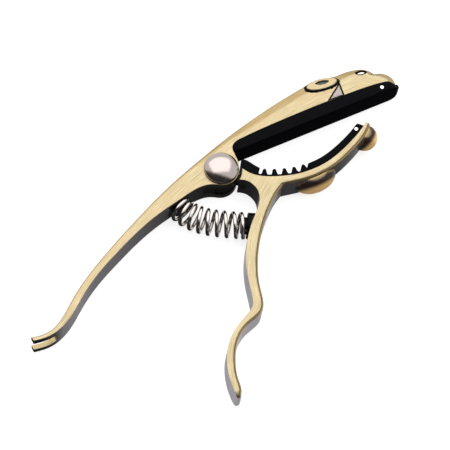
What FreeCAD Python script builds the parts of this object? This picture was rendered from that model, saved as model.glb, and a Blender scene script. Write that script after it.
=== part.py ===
import FreeCAD, Part
import math
import os
from FreeCAD import Placement, Rotation, Vector

# Trigger guitar capo, lying on its side.
# +Z is the pivot's axis, X runs along the string pad towards the nose, and the
# string pad presses towards -Y.  The row's origin is the centre of the string
# pad's contact face.  Every body is drawn about the pivot, at mid thickness,
# and then moved there by its Placement.

doc = FreeCAD.newDocument("capo")

# ---------------------------------------------------------------- dimensions
SIZES = [
    ("pivot_x", -42.0),
    ("pivot_y", -4.4),
    ("thickness", 10.6),
    ("head_bevel_depth", 1.6),
    ("rim_bevel_depth", 0.7),
    ("hub_radius", 6.5),
    ("clevis_radius", 6.6),
    ("clevis_gap", 4.3),
    ("tongue_radius", 6.2),
    ("tongue_thickness", 3.2),
    ("web_radius", 7.6),
    ("pin_radius", 2.0),
    ("pin_bore_radius", 2.05),
    ("bush_radius", 2.9),
    ("pin_head_radius", 3.4),
    ("pin_head_height", 1.1),
    ("pin_head_recess_radius", 3.45),
    ("pin_length", 11.6),
    ("cap_radius", 6.1),
    ("cap_side_height", 1.2),
    ("cap_height", 4.4),
    ("cap_recess_depth", 0.4),
    ("cap_recess_radius", 6.25),
    ("washer_radius", 5.4),
    ("washer_thickness", 0.5),
    ("pad_depth", 10.2),
    ("cradle_pad_depth", 10.0),
    ("fork_slot_width", 5.0),
    ("fork_slot_length", 9.6),
    ("spring_coil_radius", 4.3),
    ("spring_wire_radius", 0.7),
    ("spring_post_radius", 3.1),
    ("spring_post_length", 2.2),
    ("spring_seat_radius", 4.8),
    ("spring_seat_length", 4.4),
    ("lobe_long_radius", 5.0),
    ("lobe_tip_radius", 4.85),
    ("groove_depth", 0.8),
    ("groove_width", 0.7),
    ("inlay_height", 0.5),
    ("retaining_pin_radius", 0.75),
    ("retaining_pin_length", 3.0),
]
sheet = doc.addObject("Spreadsheet::Sheet", "sizes")
for row, (alias, value) in enumerate(SIZES, start=1):
    sheet.set("A%d" % row, alias)
    sheet.set("B%d" % row, str(value))
    sheet.setAlias("B%d" % row, alias)
doc.recompute()


def size(alias):
    return float(sheet.get(alias))


# ------------------------------------------------------------------- helpers
def vec(point):
    return Vector(point[0], point[1], 0)


def polar(radius, degrees):
    angle = math.radians(degrees)
    return (radius * math.cos(angle), radius * math.sin(angle))


def spline(points):
    """A smooth curve through the points."""
    curve = Part.BSplineCurve()
    curve.interpolate([vec(p) for p in points])
    return curve


def line(start, end):
    return Part.LineSegment(vec(start), vec(end))


def circle(centre, alias):
    """A full circle whose radius is a named size."""
    return Part.Circle(vec(centre), Vector(0, 0, 1), size(alias))


def arc_about(centre, radius, start_deg, end_deg):
    """Arc about a centre, from one angle to another, either way round."""
    points = []
    for share in (0.0, 0.5, 1.0):
        dx, dy = polar(radius, start_deg + share * (end_deg - start_deg))
        points.append(Vector(centre[0] + dx, centre[1] + dy, 0))
    return Part.Arc(*points)


def shifted(points, distances):
    """The points moved to the left of the curve's run, each by its distance."""
    moved = []
    last = len(points) - 1
    for i, (x, y) in enumerate(points):
        ax, ay = points[max(i - 1, 0)]
        bx, by = points[min(i + 1, last)]
        run = math.hypot(bx - ax, by - ay)
        moved.append((x - distances[i] * (by - ay) / run, y + distances[i] * (bx - ax) / run))
    return moved


def new_body(name):
    body = doc.addObject("PartDesign::Body", name)
    body.Label = name
    body.setExpression("Placement.Base.x", "sizes.pivot_x")
    body.setExpression("Placement.Base.y", "sizes.pivot_y")
    return body


def plane(body, role):
    return [f for f in body.Origin.OriginFeatures if f.Role == role][0]


def new_sketch(body, name, curves, role="XY_Plane", height=None):
    sketch = body.newObject("Sketcher::SketchObject", name)
    sketch.AttachmentSupport = [(plane(body, role), "")]
    sketch.MapMode = "FlatFace"
    if height:
        sketch.setExpression("AttachmentOffset.Base.z", height)
    for curve in curves:
        sketch.addGeometry(curve, False)
    doc.recompute()
    return sketch


def pad(body, name, sketch, length, reverse=False, midplane=True):
    feature = body.newObject("PartDesign::Pad", name)
    feature.Profile = sketch
    feature.Midplane = midplane
    feature.Reversed = reverse
    feature.setExpression("Length", length)
    sketch.Visibility = False
    doc.recompute()
    return feature


def facet_volume(shape):
    """Volume inside the shape's facets."""
    points, facets = shape.tessellate(0.02)
    return sum(points[a].dot(points[b].cross(points[c])) for a, b, c in facets) / 6


def pocket(body, name, sketch, length, reverse=False, midplane=True):
    before = facet_volume(body.Shape)
    feature = body.newObject("PartDesign::Pocket", name)
    feature.Profile = sketch
    feature.Midplane = midplane
    feature.Reversed = reverse
    feature.setExpression("Length", length)
    sketch.Visibility = False
    doc.recompute()
    if facet_volume(body.Shape) > before - 0.01:
        raise ValueError(name + " removes nothing")
    return feature


def edge_loft(body, name, outline, narrowed, low, high):
    """A thin layer whose outer edge slopes in, from outline up to narrowed."""
    base = new_sketch(body, name + "_base", outline, height=low)
    top = new_sketch(body, name + "_top", narrowed, height=high)
    feature = body.newObject("PartDesign::AdditiveLoft", name)
    feature.Profile = base
    feature.Sections = [top]
    feature.Ruled = True
    base.Visibility = False
    top.Visibility = False
    doc.recompute()
    return feature


def primitive(body, kind, name, placement, sizes):
    feature = body.newObject("PartDesign::" + kind, name)
    feature.Placement = placement
    for key, value in sizes.items():
        if isinstance(value, str):
            feature.setExpression(key, value)
        else:
            setattr(feature, key, value)
    doc.recompute()
    return feature


def turned_to(direction):
    return Rotation(Vector(0, 0, 1), Vector(*direction))


def ellipse_curve(centre, half_length, half_width, degrees):
    ax, ay = polar(half_length, degrees)
    bx, by = polar(half_width, degrees + 90)
    centre_v = vec(centre)
    return Part.Ellipse(centre_v + Vector(ax, ay, 0), centre_v + Vector(bx, by, 0), centre_v)


# ------------------------------------------------------------------ outlines
# Outer edge of the string arm: fork tip, handle, back of the head, brow, snout.
ARM_OUTER = [
    (-88.0, -31.3), (-83.6, -32.0), (-79.3, -31.2), (-74.6, -28.4), (-67.5, -22.8),
    (-57.0, -16.1), (-45.0, -9.8), (-32.0, -3.6), (-20.0, 1.6), (-6.0, 6.6),
    (8.0, 11.1), (22.0, 14.75), (34.0, 17.3), (43.0, 18.8), (50.4, 19.35),
    (56.0, 18.1), (59.6, 18.1), (63.2, 17.7), (66.6, 16.7), (68.7, 15.0), (70.1, 13.0),
]
# How far the bevel reaches in from that edge at each of those points.
ARM_BEVEL = [
    0.35, 0.35, 0.4, 0.5, 0.5,
    0.5, 0.5, 0.6, 0.8, 1.2,
    2.2, 3.3, 3.6, 3.7, 3.6,
    2.9, 2.7, 2.4, 2.2, 1.9, 1.5,
]
NOSE = [(70.1, 13.0), (72.5, 12.1), (74.5, 10.3), (75.4, 8.2), (75.2, 5.6)]
NOSE_BEVEL = [1.5, 1.4, 1.3, 1.0, 0.5]
# Seat of the string pad, from the nose back to its rounded left end.
PAD_SEAT = [
    (75.2, 5.6), (73.6, 7.0), (70.8, 7.9), (65.5, 8.5), (57.0, 8.9),
    (44.0, 9.15), (30.0, 9.0), (18.0, 8.6), (11.5, 8.2),
]
PAD_CORNER = [(11.5, 8.2), (9.0, 7.5), (7.6, 6.0), (7.3, 4.0)]
HUB_SIDE = [(7.3, 4.0), (7.2, 2.2), (7.0, 0.2), polar(6.5, -20)]
# Underside of the handle, from the hub to the fork tip.
ARM_INNER = [
    polar(6.5, -120), (-5.4, -4.4), (-8.4, -3.6), (-12.8, -3.75), (-19.0, -5.0),
    (-28.0, -7.05), (-37.0, -10.0), (-47.0, -14.3), (-56.5, -18.9), (-66.0, -25.1),
    (-73.0, -30.4), (-77.6, -32.7), (-82.5, -33.7), (-87.9, -33.1),
]
# Seat of the cradle pad, from the hub out to the jaw's tip.
CRADLE_SEAT = [
    polar(7.6, -20.8), (8.6, -5.2), (10.9, -7.5), (14.5, -9.6), (19.0, -11.4),
    (24.0, -12.8), (29.5, -13.4), (35.0, -13.15), (41.0, -11.8), (47.0, -9.6),
    (52.0, -7.3), (55.9, -5.1),
]
JAW_TIP = [(55.9, -5.1), (57.2, -4.5), (58.2, -5.6)]
JAW_OUTER = [
    (58.2, -5.6), (54.3, -8.9), (48.8, -11.8), (43.4, -14.0), (38.5, -15.5),
    (34.0, -16.2), (29.8, -16.4), (25.5, -16.1), (21.8, -15.5), (17.6, -14.7),
]
# The web's outer side and the serpentine handle below it.
HANDLE_OUTER = [
    (17.6, -14.7), (14.3, -16.6), (10.0, -20.0), (5.7, -24.2), (1.7, -28.9),
    (-1.7, -33.7), (-4.6, -38.8), (-6.9, -44.0), (-8.2, -48.5), (-9.3, -52.4),
    (-11.2, -55.3), (-14.2, -56.8), (-18.4, -58.1), (-22.4, -60.5), (-25.8, -64.3),
    (-28.4, -69.1), (-30.0, -74.1), (-30.8, -78.4), (-31.8, -80.4),
]
HANDLE_TIP = [(-31.8, -80.4), (-32.7, -80.9), (-33.5, -80.2)]
HANDLE_INNER = [
    (-33.5, -80.2), (-33.1, -74.6), (-31.8, -69.2), (-29.3, -64.0), (-25.7, -59.8),
    (-21.4, -56.7), (-16.6, -54.3), (-13.7, -52.5), (-12.3, -49.6), (-11.1, -45.0),
    (-9.2, -38.8), (-6.4, -32.8), (-2.9, -27.6), (1.1, -23.0), (4.7, -19.6),
    (7.2, -16.4), (8.2, -13.3), (7.8, -10.6), (6.4, -8.1), polar(7.6, -58.2),
]
# Eye boss and marks of the head: centre, half length, half width, turn.
EYE = ((49.6, 16.5), 6.0, 2.2, -7.0)
PUPIL = ((49.8, 16.8), 2.6, 0.65, -10.0)
NOSTRIL = ((65.4, 15.0), 2.2, 1.1, -12.0)
NOSTRIL_BEAD = ((65.5, 15.0), 1.4, 0.6, -12.0)
TOOTH = [(48.4, 9.3), (54.8, 9.2), (55.2, 14.0)]
# Middle line of the spring: it leaves the handle squarely and bends towards the
# seat on the other lever.  End points, headings and how far each end reaches.
SPRING_START = (-19.05, -5.2)
SPRING_END = (-0.2, -22.0)
SPRING_HEADINGS = (-77.5, -29.0)
SPRING_REACH = (8.5, 9.5)
SPRING_TURNS = 9.0
SPRING_PHASE = -60.0


def spring_frame(share):
    """Point and direction of the spring's middle line, share 0 to 1."""
    (x0, y0), (x3, y3) = SPRING_START, SPRING_END
    ax, ay = polar(SPRING_REACH[0], SPRING_HEADINGS[0])
    bx, by = polar(SPRING_REACH[1], SPRING_HEADINGS[1])
    x1, y1, x2, y2 = (x0 + ax, y0 + ay, x3 - bx, y3 - by)
    rest = 1 - share
    w0, w1, w2, w3 = (rest ** 3, 3 * rest ** 2 * share, 3 * rest * share ** 2, share ** 3)
    point = (w0 * x0 + w1 * x1 + w2 * x2 + w3 * x3, w0 * y0 + w1 * y1 + w2 * y2 + w3 * y3)
    d0, d1, d2 = (rest ** 2, 2 * rest * share, share ** 2)
    run_x = d0 * (x1 - x0) + d1 * (x2 - x1) + d2 * (x3 - x2)
    run_y = d0 * (y1 - y0) + d1 * (y2 - y1) + d2 * (y3 - y2)
    run = math.hypot(run_x, run_y)
    return point, (run_x / run, run_y / run)


# ---------------------------------------------------------------- string arm
# Cast lever: fork for bridge pins, handle, clevis at the hub, head above the pad.
arm = new_body("string_arm")
arm_rest = [
    spline(PAD_SEAT),
    spline(PAD_CORNER),
    spline(HUB_SIDE),
    arc_about((0, 0), size("hub_radius"), -20, -120),
    spline(ARM_INNER),
    line(ARM_INNER[-1], ARM_OUTER[0]),
]
arm_outline = [spline(ARM_OUTER), spline(NOSE)] + arm_rest
inner_edge = shifted(ARM_OUTER, [-d for d in ARM_BEVEL])
inner_nose = shifted(NOSE, [-d for d in NOSE_BEVEL])
inner_edge[0] = (ARM_OUTER[0][0], ARM_OUTER[0][1] - ARM_BEVEL[0])
inner_nose[0] = inner_edge[-1]
inner_nose[-1] = (NOSE[-1][0] - NOSE_BEVEL[-1], NOSE[-1][1] + 0.3)
narrow_seat = [inner_nose[-1]] + PAD_SEAT[1:]
arm_narrowed = [
    spline(inner_edge),
    spline(inner_nose),
    spline(narrow_seat),
] + arm_rest[1:-1] + [line(ARM_INNER[-1], inner_edge[0])]
arm_sketch = new_sketch(arm, "arm_outline", arm_outline)
pad(arm, "arm_core", arm_sketch, "sizes.thickness - 2 * sizes.head_bevel_depth")
edge_loft(
    arm, "arm_front", arm_outline, arm_narrowed,
    "sizes.thickness / 2 - sizes.head_bevel_depth", "sizes.thickness / 2",
)
edge_loft(
    arm, "arm_back", arm_outline, arm_narrowed,
    "sizes.head_bevel_depth - sizes.thickness / 2", "-sizes.thickness / 2",
)
# Eye boss: a flat-topped island standing out of the bevel.
pad(arm, "eye_boss", new_sketch(arm, "eye_outline", [ellipse_curve(*EYE)]), "sizes.thickness")
# Spring post under the handle.
(start_x, start_y), (dir_x, dir_y) = spring_frame(0.0)
post_out = size("spring_post_length")
primitive(
    arm, "AdditiveCylinder", "spring_post",
    Placement(Vector(start_x - 3 * dir_x, start_y - 3 * dir_y, 0), turned_to((dir_x, dir_y, 0))),
    {"Radius": "sizes.spring_post_radius", "Height": "sizes.spring_post_length + 3"},
)
# Clevis: the slot the other lever's tongue turns in, with a pocket for its stop.
clevis_sketch = new_sketch(arm, "clevis_circle", [circle((0, 0), "clevis_radius")])
pocket(arm, "clevis_slot", clevis_sketch, "sizes.clevis_gap")
stop_outer = 8.9
stop_from = 145.0
stop_rest = 192.0
stop_curves = [
    arc_about((0, 0), stop_outer, stop_from, stop_rest),
    line(polar(stop_outer, stop_rest), polar(4.0, stop_rest)),
    arc_about((0, 0), 4.0, stop_rest, stop_from),
    line(polar(4.0, stop_from), polar(stop_outer, stop_from)),
]
pocket(arm, "stop_pocket", new_sketch(arm, "stop_sector", stop_curves), "sizes.clevis_gap")
# Pin bore, countersink for the flush rear head, and recess round the front cap.
pocket(
    arm, "pin_bore",
    new_sketch(arm, "pin_circle", [circle((0, 0), "pin_bore_radius")]),
    "sizes.thickness + 2",
)
pocket(
    arm, "rear_counterbore",
    new_sketch(
        arm, "rear_circle",
        [circle((0, 0), "pin_head_recess_radius")],
        height="-sizes.thickness / 2",
    ),
    "sizes.pin_head_height", reverse=True, midplane=False,
)
pocket(
    arm, "cap_recess",
    new_sketch(
        arm, "cap_circle",
        [circle((0, 0), "cap_recess_radius")],
        height="sizes.thickness / 2",
    ),
    "sizes.cap_recess_depth", midplane=False,
)
# Fork: a round-ended slot that splits the tip into two tines.
half_slot = size("fork_slot_width") / 2
slot_end = -88.0 + size("fork_slot_length")
fork_curves = [
    line((-92, half_slot), (slot_end - half_slot, half_slot)),
    arc_about((slot_end - half_slot, 0), half_slot, 90, -90),
    line((slot_end - half_slot, -half_slot), (-92, -half_slot)),
    line((-92, -half_slot), (-92, half_slot)),
]
pocket(arm, "fork_slot", new_sketch(arm, "fork_outline", fork_curves, role="XZ_Plane"), "120 mm")
# Marks of the head, cut alike in both faces.
groove = size("groove_width")
(eye_x, eye_y), eye_long, eye_wide, eye_turn = EYE
eye_ring = [
    ellipse_curve((eye_x, eye_y), eye_long, eye_wide, eye_turn),
    ellipse_curve((eye_x, eye_y), eye_long + groove, eye_wide + groove, eye_turn),
]
tooth_cut = [line(TOOTH[i], TOOTH[(i + 1) % 3]) for i in range(3)]
for side, sign, reverse in (("front", 1, False), ("back", -1, True)):
    face = "sizes.thickness / 2" if sign > 0 else "-sizes.thickness / 2"
    pocket(
        arm, "eye_groove_" + side,
        new_sketch(arm, "eye_ring_" + side, eye_ring, height=face),
        "sizes.groove_depth", reverse=reverse, midplane=False,
    )
    pocket(
        arm, "pupil_recess_" + side,
        new_sketch(arm, "pupil_outline_" + side, [ellipse_curve(*PUPIL)], height=face),
        "sizes.inlay_height", reverse=reverse, midplane=False,
    )
    pocket(
        arm, "tooth_recess_" + side,
        new_sketch(arm, "tooth_outline_" + side, tooth_cut, height=face),
        "sizes.inlay_height", reverse=reverse, midplane=False,
    )
    pocket(
        arm, "nostril_" + side,
        new_sketch(arm, "nostril_outline_" + side, [ellipse_curve(*NOSTRIL)], height=face),
        "2 * sizes.groove_depth", reverse=reverse, midplane=False,
    )

# ------------------------------------------------------------ inlays of the head
# Dark pupil, pale tooth and bright nostril bead, one of each in either face.
TOOTH_FILL = [(49.3, 9.55), (54.4, 9.45), (54.75, 13.0)]
for side, sign in (("front", 1), ("back", -1)):
    tooth_lines = [line(TOOTH_FILL[i], TOOTH_FILL[(i + 1) % 3]) for i in range(3)]
    marks = (
        ("eye_pupil_" + side, [ellipse_curve(*PUPIL)], "sizes.inlay_height"),
        ("tooth_inlay_" + side, tooth_lines, "sizes.inlay_height"),
        ("nostril_bead_" + side, [ellipse_curve(*NOSTRIL_BEAD)], "2 * sizes.groove_depth"),
    )
    for name, curves, depth in marks:
        body = new_body(name)
        floor = "sizes.thickness / 2 - " + depth
        if sign < 0:
            floor = "-(" + floor + ")"
        sketch = new_sketch(body, name + "_outline", curves, height=floor)
        pad(body, name + "_pad", sketch, "sizes.inlay_height", reverse=sign < 0, midplane=False)

# ---------------------------------------------------------------- string pad
# Silicone bar under the head; its free end bulges out past the nose.
CONTACT_Y = 4.4
string_pad = new_body("string_pad")
pad_profile = [
    spline(PAD_SEAT),
    spline(PAD_CORNER[:3]),
    line((7.6, 6.0), (7.6, 5.4)),
    Part.Arc(Vector(7.6, 5.4, 0), Vector(7.9, 4.7, 0), Vector(8.6, CONTACT_Y, 0)),
    line((8.6, CONTACT_Y), (74.6, CONTACT_Y)),
    spline([(74.6, CONTACT_Y), (76.1, 4.55), (77.0, 5.3)]),
    spline([(77.0, 5.3), (76.4, 6.0), (75.2, 5.6)]),
]
pad(string_pad, "pad_bar", new_sketch(string_pad, "pad_outline", pad_profile), "sizes.pad_depth")
# The free end is rounded in plan: full length at mid depth, shorter at the faces.
past_face = size("pad_depth") / 2 + 0.2
for sign in (1, -1):
    corner = [
        Part.Arc(vec((77.3, sign * 0.9)), vec((76.1, sign * 3.5)), vec((73.2, sign * past_face))),
        line((73.2, sign * past_face), (79, sign * past_face)),
        line((79, sign * past_face), (79, sign * 0.9)),
        line((79, sign * 0.9), (77.3, sign * 0.9)),
    ]
    name = "pad_nose_front" if sign > 0 else "pad_nose_back"
    pocket(string_pad, name, new_sketch(string_pad, name + "_outline", corner, role="XZ_Plane"), "60 mm")
pin_x, pin_y = (69.6, 6.3)
pin_hole = new_sketch(
    string_pad, "pin_hole_circle", [circle((pin_x, pin_y), "retaining_pin_radius")],
    height="sizes.pad_depth / 2",
)
pocket(string_pad, "pin_hole", pin_hole, "sizes.retaining_pin_length", midplane=False)

# ---------------------------------------------------------------- cradle arm
# Cast lever: jaw behind the neck, tongue in the clevis, serpentine handle.
cradle = new_body("cradle_arm")
cradle_fixed = [
    arc_about((0, 0), size("web_radius"), -58.2, -20.8),
    spline(CRADLE_SEAT),
    spline(JAW_TIP),
]
cradle_outline = cradle_fixed + [
    spline(JAW_OUTER), spline(HANDLE_OUTER), spline(HANDLE_TIP), spline(HANDLE_INNER),
]
rim = 0.6
inner_jaw = shifted(JAW_OUTER, [-rim] * len(JAW_OUTER))
inner_handle = shifted(HANDLE_OUTER, [-rim] * len(HANDLE_OUTER))
inner_jaw[0] = (JAW_OUTER[0][0] - 0.4, JAW_OUTER[0][1] + 0.35)
inner_jaw[-1] = (JAW_OUTER[-1][0] - 0.25, JAW_OUTER[-1][1] + 0.65)
inner_handle[0] = inner_jaw[-1]
inner_handle[-1] = (HANDLE_OUTER[-1][0] - 0.4, HANDLE_OUTER[-1][1] + 0.2)
cradle_narrowed = [
    cradle_fixed[0],
    cradle_fixed[1],
    spline([JAW_TIP[0], (57.0, -4.65), inner_jaw[0]]),
    spline(inner_jaw),
    spline(inner_handle),
    spline([inner_handle[-1], (-32.8, -80.55), HANDLE_TIP[-1]]),
    spline(HANDLE_INNER),
]
pad(
    cradle, "cradle_core", new_sketch(cradle, "cradle_outline", cradle_outline),
    "sizes.thickness - 2 * sizes.rim_bevel_depth",
)
edge_loft(
    cradle, "cradle_front", cradle_outline, cradle_narrowed,
    "sizes.thickness / 2 - sizes.rim_bevel_depth", "sizes.thickness / 2",
)
edge_loft(
    cradle, "cradle_back", cradle_outline, cradle_narrowed,
    "sizes.rim_bevel_depth - sizes.thickness / 2", "-sizes.thickness / 2",
)
# Rounded end of the handle, seen from the side.
half = size("thickness") / 2
tip_y = -80.95
tip_radius = 3.4
for sign in (1, -1):
    corner = [
        arc_about((tip_y + tip_radius, sign * (half - tip_radius)), tip_radius, 180, 180 - sign * 90),
        line((tip_y + tip_radius, sign * half), (tip_y + tip_radius, sign * (half + 1))),
        line((tip_y + tip_radius, sign * (half + 1)), (tip_y - 2, sign * (half + 1))),
        line((tip_y - 2, sign * (half + 1)), (tip_y - 2, sign * (half - tip_radius))),
        line((tip_y - 2, sign * (half - tip_radius)), (tip_y, sign * (half - tip_radius))),
    ]
    name = "handle_end_front" if sign > 0 else "handle_end_back"
    pocket(cradle, name, new_sketch(cradle, name + "_outline", corner, role="YZ_Plane"), "120 mm")
# Two rounded lobes on the outside of the jaw: a long one and a half ball at the tip.
lobe_x, lobe_y, lobe_long = (30.9, -15.2, 8.1)
lobe_high = size("lobe_long_radius")
lobe_centre = Vector(lobe_x, lobe_y, 0)
long_end = lobe_centre + Vector(lobe_long, 0, 0)
short_end = lobe_centre + Vector(0, lobe_high, 0)
lobe_arc = Part.ArcOfEllipse(Part.Ellipse(long_end, short_end, lobe_centre), math.pi, 2 * math.pi)
lobe_axis = line((lobe_x - lobe_long, lobe_y), (lobe_x + lobe_long, lobe_y))
lobe_sketch = new_sketch(cradle, "lobe_profile", [lobe_arc, lobe_axis])
lobe_sketch.addGeometry(lobe_axis, True)
doc.recompute()
lobe = cradle.newObject("PartDesign::Revolution", "lobe_long")
lobe.Profile = lobe_sketch
lobe.ReferenceAxis = (lobe_sketch, ["Axis0"])
lobe.Angle = 180
lobe.Midplane = True
lobe_sketch.Visibility = False
doc.recompute()
primitive(
    cradle, "AdditiveSphere", "lobe_tip",
    Placement(Vector(55.5, -7.7, 0), Rotation(Vector(0, 0, 1), -150.6)),
    {"Radius": "sizes.lobe_tip_radius", "Angle3": 180},
)
# Tongue that fills the clevis, the neck that joins it to the web, and the stop lug.
tongue_sketch = new_sketch(cradle, "tongue_circle", [circle((0, 0), "tongue_radius")])
pad(cradle, "tongue", tongue_sketch, "sizes.tongue_thickness")
neck = [polar(4.0, -26), polar(9.6, -27), polar(9.6, -50), polar(4.0, -56)]
neck_lines = [line(neck[i], neck[(i + 1) % 4]) for i in range(4)]
pad(cradle, "tongue_neck", new_sketch(cradle, "neck_outline", neck_lines), "sizes.tongue_thickness")
lug_curves = [
    arc_about((0, 0), 8.5, 178, stop_rest - 0.1),
    line(polar(8.5, stop_rest - 0.1), polar(4.0, stop_rest - 0.1)),
    arc_about((0, 0), 4.0, stop_rest - 0.1, 178),
    line(polar(4.0, 178), polar(8.5, 178)),
]
pad(cradle, "stop_lug", new_sketch(cradle, "lug_outline", lug_curves), "sizes.tongue_thickness")
bore_sketch = new_sketch(cradle, "bush_circle", [circle((0, 0), "bush_radius")])
pocket(cradle, "bush_bore", bore_sketch, "sizes.thickness")
# Spring seat and post on the handle.
(end_x, end_y), (end_dx, end_dy) = spring_frame(1.0)
primitive(
    cradle, "AdditiveCylinder", "spring_seat_lower",
    Placement(Vector(end_x, end_y, 0), turned_to((end_dx, end_dy, 0))),
    {"Radius": "sizes.spring_seat_radius", "Height": "sizes.spring_seat_length"},
)
primitive(
    cradle, "AdditiveCylinder", "spring_post_lower",
    Placement(
        Vector(end_x - post_out * end_dx, end_y - post_out * end_dy, 0), turned_to((end_dx, end_dy, 0)),
    ),
    {"Radius": "sizes.spring_post_radius", "Height": "sizes.spring_post_length + 1"},
)

# ---------------------------------------------------------------- cradle pad
# Silicone lining of the jaw: a block by the hub, five teeth, then a smooth strip.
seat_curve = spline(CRADLE_SEAT)
seat_length = seat_curve.length()


def above_seat(run, height):
    """Point at a run along the jaw's seat and a height off it."""
    at = seat_curve.parameterAtDistance(run, seat_curve.FirstParameter)
    point = seat_curve.value(at)
    along = seat_curve.tangent(at)[0]
    return (point.x - height * along.y, point.y + height * along.x)


def teeth_edge(first, pitch, count, base, height):
    """Rounded teeth on the lining, from run first on."""
    points = []
    for i in range(count):
        middle = first + i * pitch
        points.append([
            above_seat(middle - 1.15, base),
            above_seat(middle - 0.62, base + 0.62 * height),
            above_seat(middle, base + height),
            above_seat(middle + 0.62, base + 0.62 * height),
            above_seat(middle + 1.15, base),
        ])
    return points


base_height = 0.9
block_end = 6.5
strip_start = 26.0
strip_end = seat_length - 0.4
teeth = teeth_edge(8.7, 3.85, 5, base_height, 2.3)
LINING_BLOCK = [(8.0, -0.2), (8.5, 0.55), (9.4, 0.3), (10.5, -0.9), (11.5, -2.6), (12.5, -4.2), (13.15, -5.05)]
curves = [
    line(above_seat(0.0, 0.0), LINING_BLOCK[0]),
    spline(LINING_BLOCK),
    spline([LINING_BLOCK[-1], above_seat(6.4, 2.4), above_seat(block_end, base_height + 0.4)]),
    line(above_seat(block_end, base_height + 0.4), above_seat(block_end + 0.1, base_height)),
]
corner_point = above_seat(block_end + 0.1, base_height)
for tooth in teeth:
    curves.append(line(corner_point, tooth[0]))
    curves.append(spline(tooth[:3]))
    curves.append(spline(tooth[2:]))
    corner_point = tooth[-1]
curves.append(line(corner_point, above_seat(strip_start - 0.1, base_height)))
curves.append(line(above_seat(strip_start - 0.1, base_height), above_seat(strip_start, 2.2)))
STRIP_SHOULDER = [(0.0, 2.2), (0.2, 2.7), (0.8, 2.9)]
curves.append(spline([above_seat(strip_start + run, height) for run, height in STRIP_SHOULDER]))
strip_run = strip_end - strip_start - 1.6
strip = [above_seat(strip_start + 0.8 + strip_run * i / 6, 2.9 - 0.05 * i) for i in range(7)]
curves.append(spline(strip))
curves.append(spline([strip[-1], above_seat(strip_end - 0.15, 2.2), above_seat(strip_end, 1.6)]))
curves.append(line(above_seat(strip_end, 1.6), above_seat(seat_length, 0.0)))
curves.append(seat_curve)
cradle_pad = new_body("cradle_pad")
pad(cradle_pad, "lining", new_sketch(cradle_pad, "lining_outline", curves), "sizes.cradle_pad_depth")
cradle_pin = above_seat(strip_end - 2.6, 1.5)
pin_hole_lower = new_sketch(
    cradle_pad, "pin_hole_lower_circle", [circle(cradle_pin, "retaining_pin_radius")],
    height="sizes.cradle_pad_depth / 2",
)
pocket(cradle_pad, "pin_hole_lower", pin_hole_lower, "sizes.retaining_pin_length", midplane=False)

# ------------------------------------------------------------- retaining pins
for name, (x, y), depth in (
    ("string_pad_pin", (pin_x, pin_y), "sizes.pad_depth / 2"),
    ("cradle_pad_pin", cradle_pin, "sizes.cradle_pad_depth / 2"),
):
    body = new_body(name)
    sketch = new_sketch(body, name + "_circle", [circle((x, y), "retaining_pin_radius")], height=depth)
    pad(body, name + "_shank", sketch, "sizes.retaining_pin_length", reverse=True, midplane=False)

# --------------------------------------------------------------- pivot parts
# Pin: shaft with a flat head that lies flush in the rear ear.
pin = new_body("pivot_pin")
pin_sketch = new_sketch(
    pin, "pin_shaft_circle", [circle((0, 0), "pin_radius")],
    height="-sizes.thickness / 2",
)
pad(pin, "pin_shaft", pin_sketch, "sizes.pin_length", midplane=False)
head_sketch = new_sketch(
    pin, "pin_head_circle", [circle((0, 0), "pin_head_radius")],
    height="-sizes.thickness / 2",
)
pad(pin, "pin_head", head_sketch, "sizes.pin_head_height", midplane=False)

# Cap: domed steel button pressed on the pin's front end.
cap = new_body("pivot_cap")
cap_floor = size("thickness") / 2 - size("cap_recess_depth")
cap_top = cap_floor + size("cap_height")
cap_r = size("cap_radius")
pin_top = size("pin_length") - size("thickness") / 2
side_top = cap_floor + size("cap_side_height")
rise = cap_top - side_top
dome_radius = (cap_r ** 2 + rise ** 2) / (2 * rise)
dome_edge = math.degrees(math.asin((dome_radius - rise) / dome_radius))
primitive(
    cap, "AdditiveCylinder", "cap_rim", Placement(Vector(0, 0, cap_floor), Rotation()),
    {"Radius": "sizes.cap_radius", "Height": side_top - cap_floor},
)
primitive(
    cap, "AdditiveSphere", "cap_dome", Placement(Vector(0, 0, cap_top - dome_radius), Rotation()),
    {"Radius": dome_radius, "Angle1": dome_edge, "Angle2": 90},
)
primitive(
    cap, "SubtractiveCylinder", "cap_socket", Placement(Vector(0, 0, cap_floor - 0.5), Rotation()),
    {"Radius": "sizes.pin_radius", "Height": pin_top - cap_floor + 0.5},
)

# Bush in the tongue, and a thin washer on either side of it.
rings = (
    ("pivot_bush", "bush_radius", "sizes.tongue_thickness", "-sizes.tongue_thickness / 2"),
    ("thrust_washer_front", "washer_radius", "sizes.washer_thickness",
     "sizes.clevis_gap / 2 - sizes.washer_thickness"),
    ("thrust_washer_back", "washer_radius", "sizes.washer_thickness", "-sizes.clevis_gap / 2"),
)
for name, outer, height, floor in rings:
    body = new_body(name)
    circles = [circle((0, 0), outer), circle((0, 0), "pin_bore_radius")]
    sketch = new_sketch(body, name + "_circles", circles, height=floor)
    pad(body, name + "_ring", sketch, height, midplane=False)

# -------------------------------------------------------------------- spring
# Compression coil with closed ends, bent a little between its seats.
wire = size("spring_wire_radius")
coil = size("spring_coil_radius")
steps = 18
total = int(SPRING_TURNS * steps)
end_gap = 0.12
closed = 3.2 * wire
spots = [spring_frame(i / 200)[0] for i in range(201)]
length = sum(math.dist(spots[i], spots[i + 1]) for i in range(200))


def coil_run(turn):
    """Run along the middle line after a number of turns, closer at both ends."""
    free = length - 2 * (wire + end_gap) - 2 * closed
    if turn < 1.0:
        return wire + end_gap + closed * turn
    if turn > SPRING_TURNS - 1.0:
        return length - wire - end_gap - closed * (SPRING_TURNS - turn)
    return wire + end_gap + closed + free * (turn - 1.0) / (SPRING_TURNS - 2.0)


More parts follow.
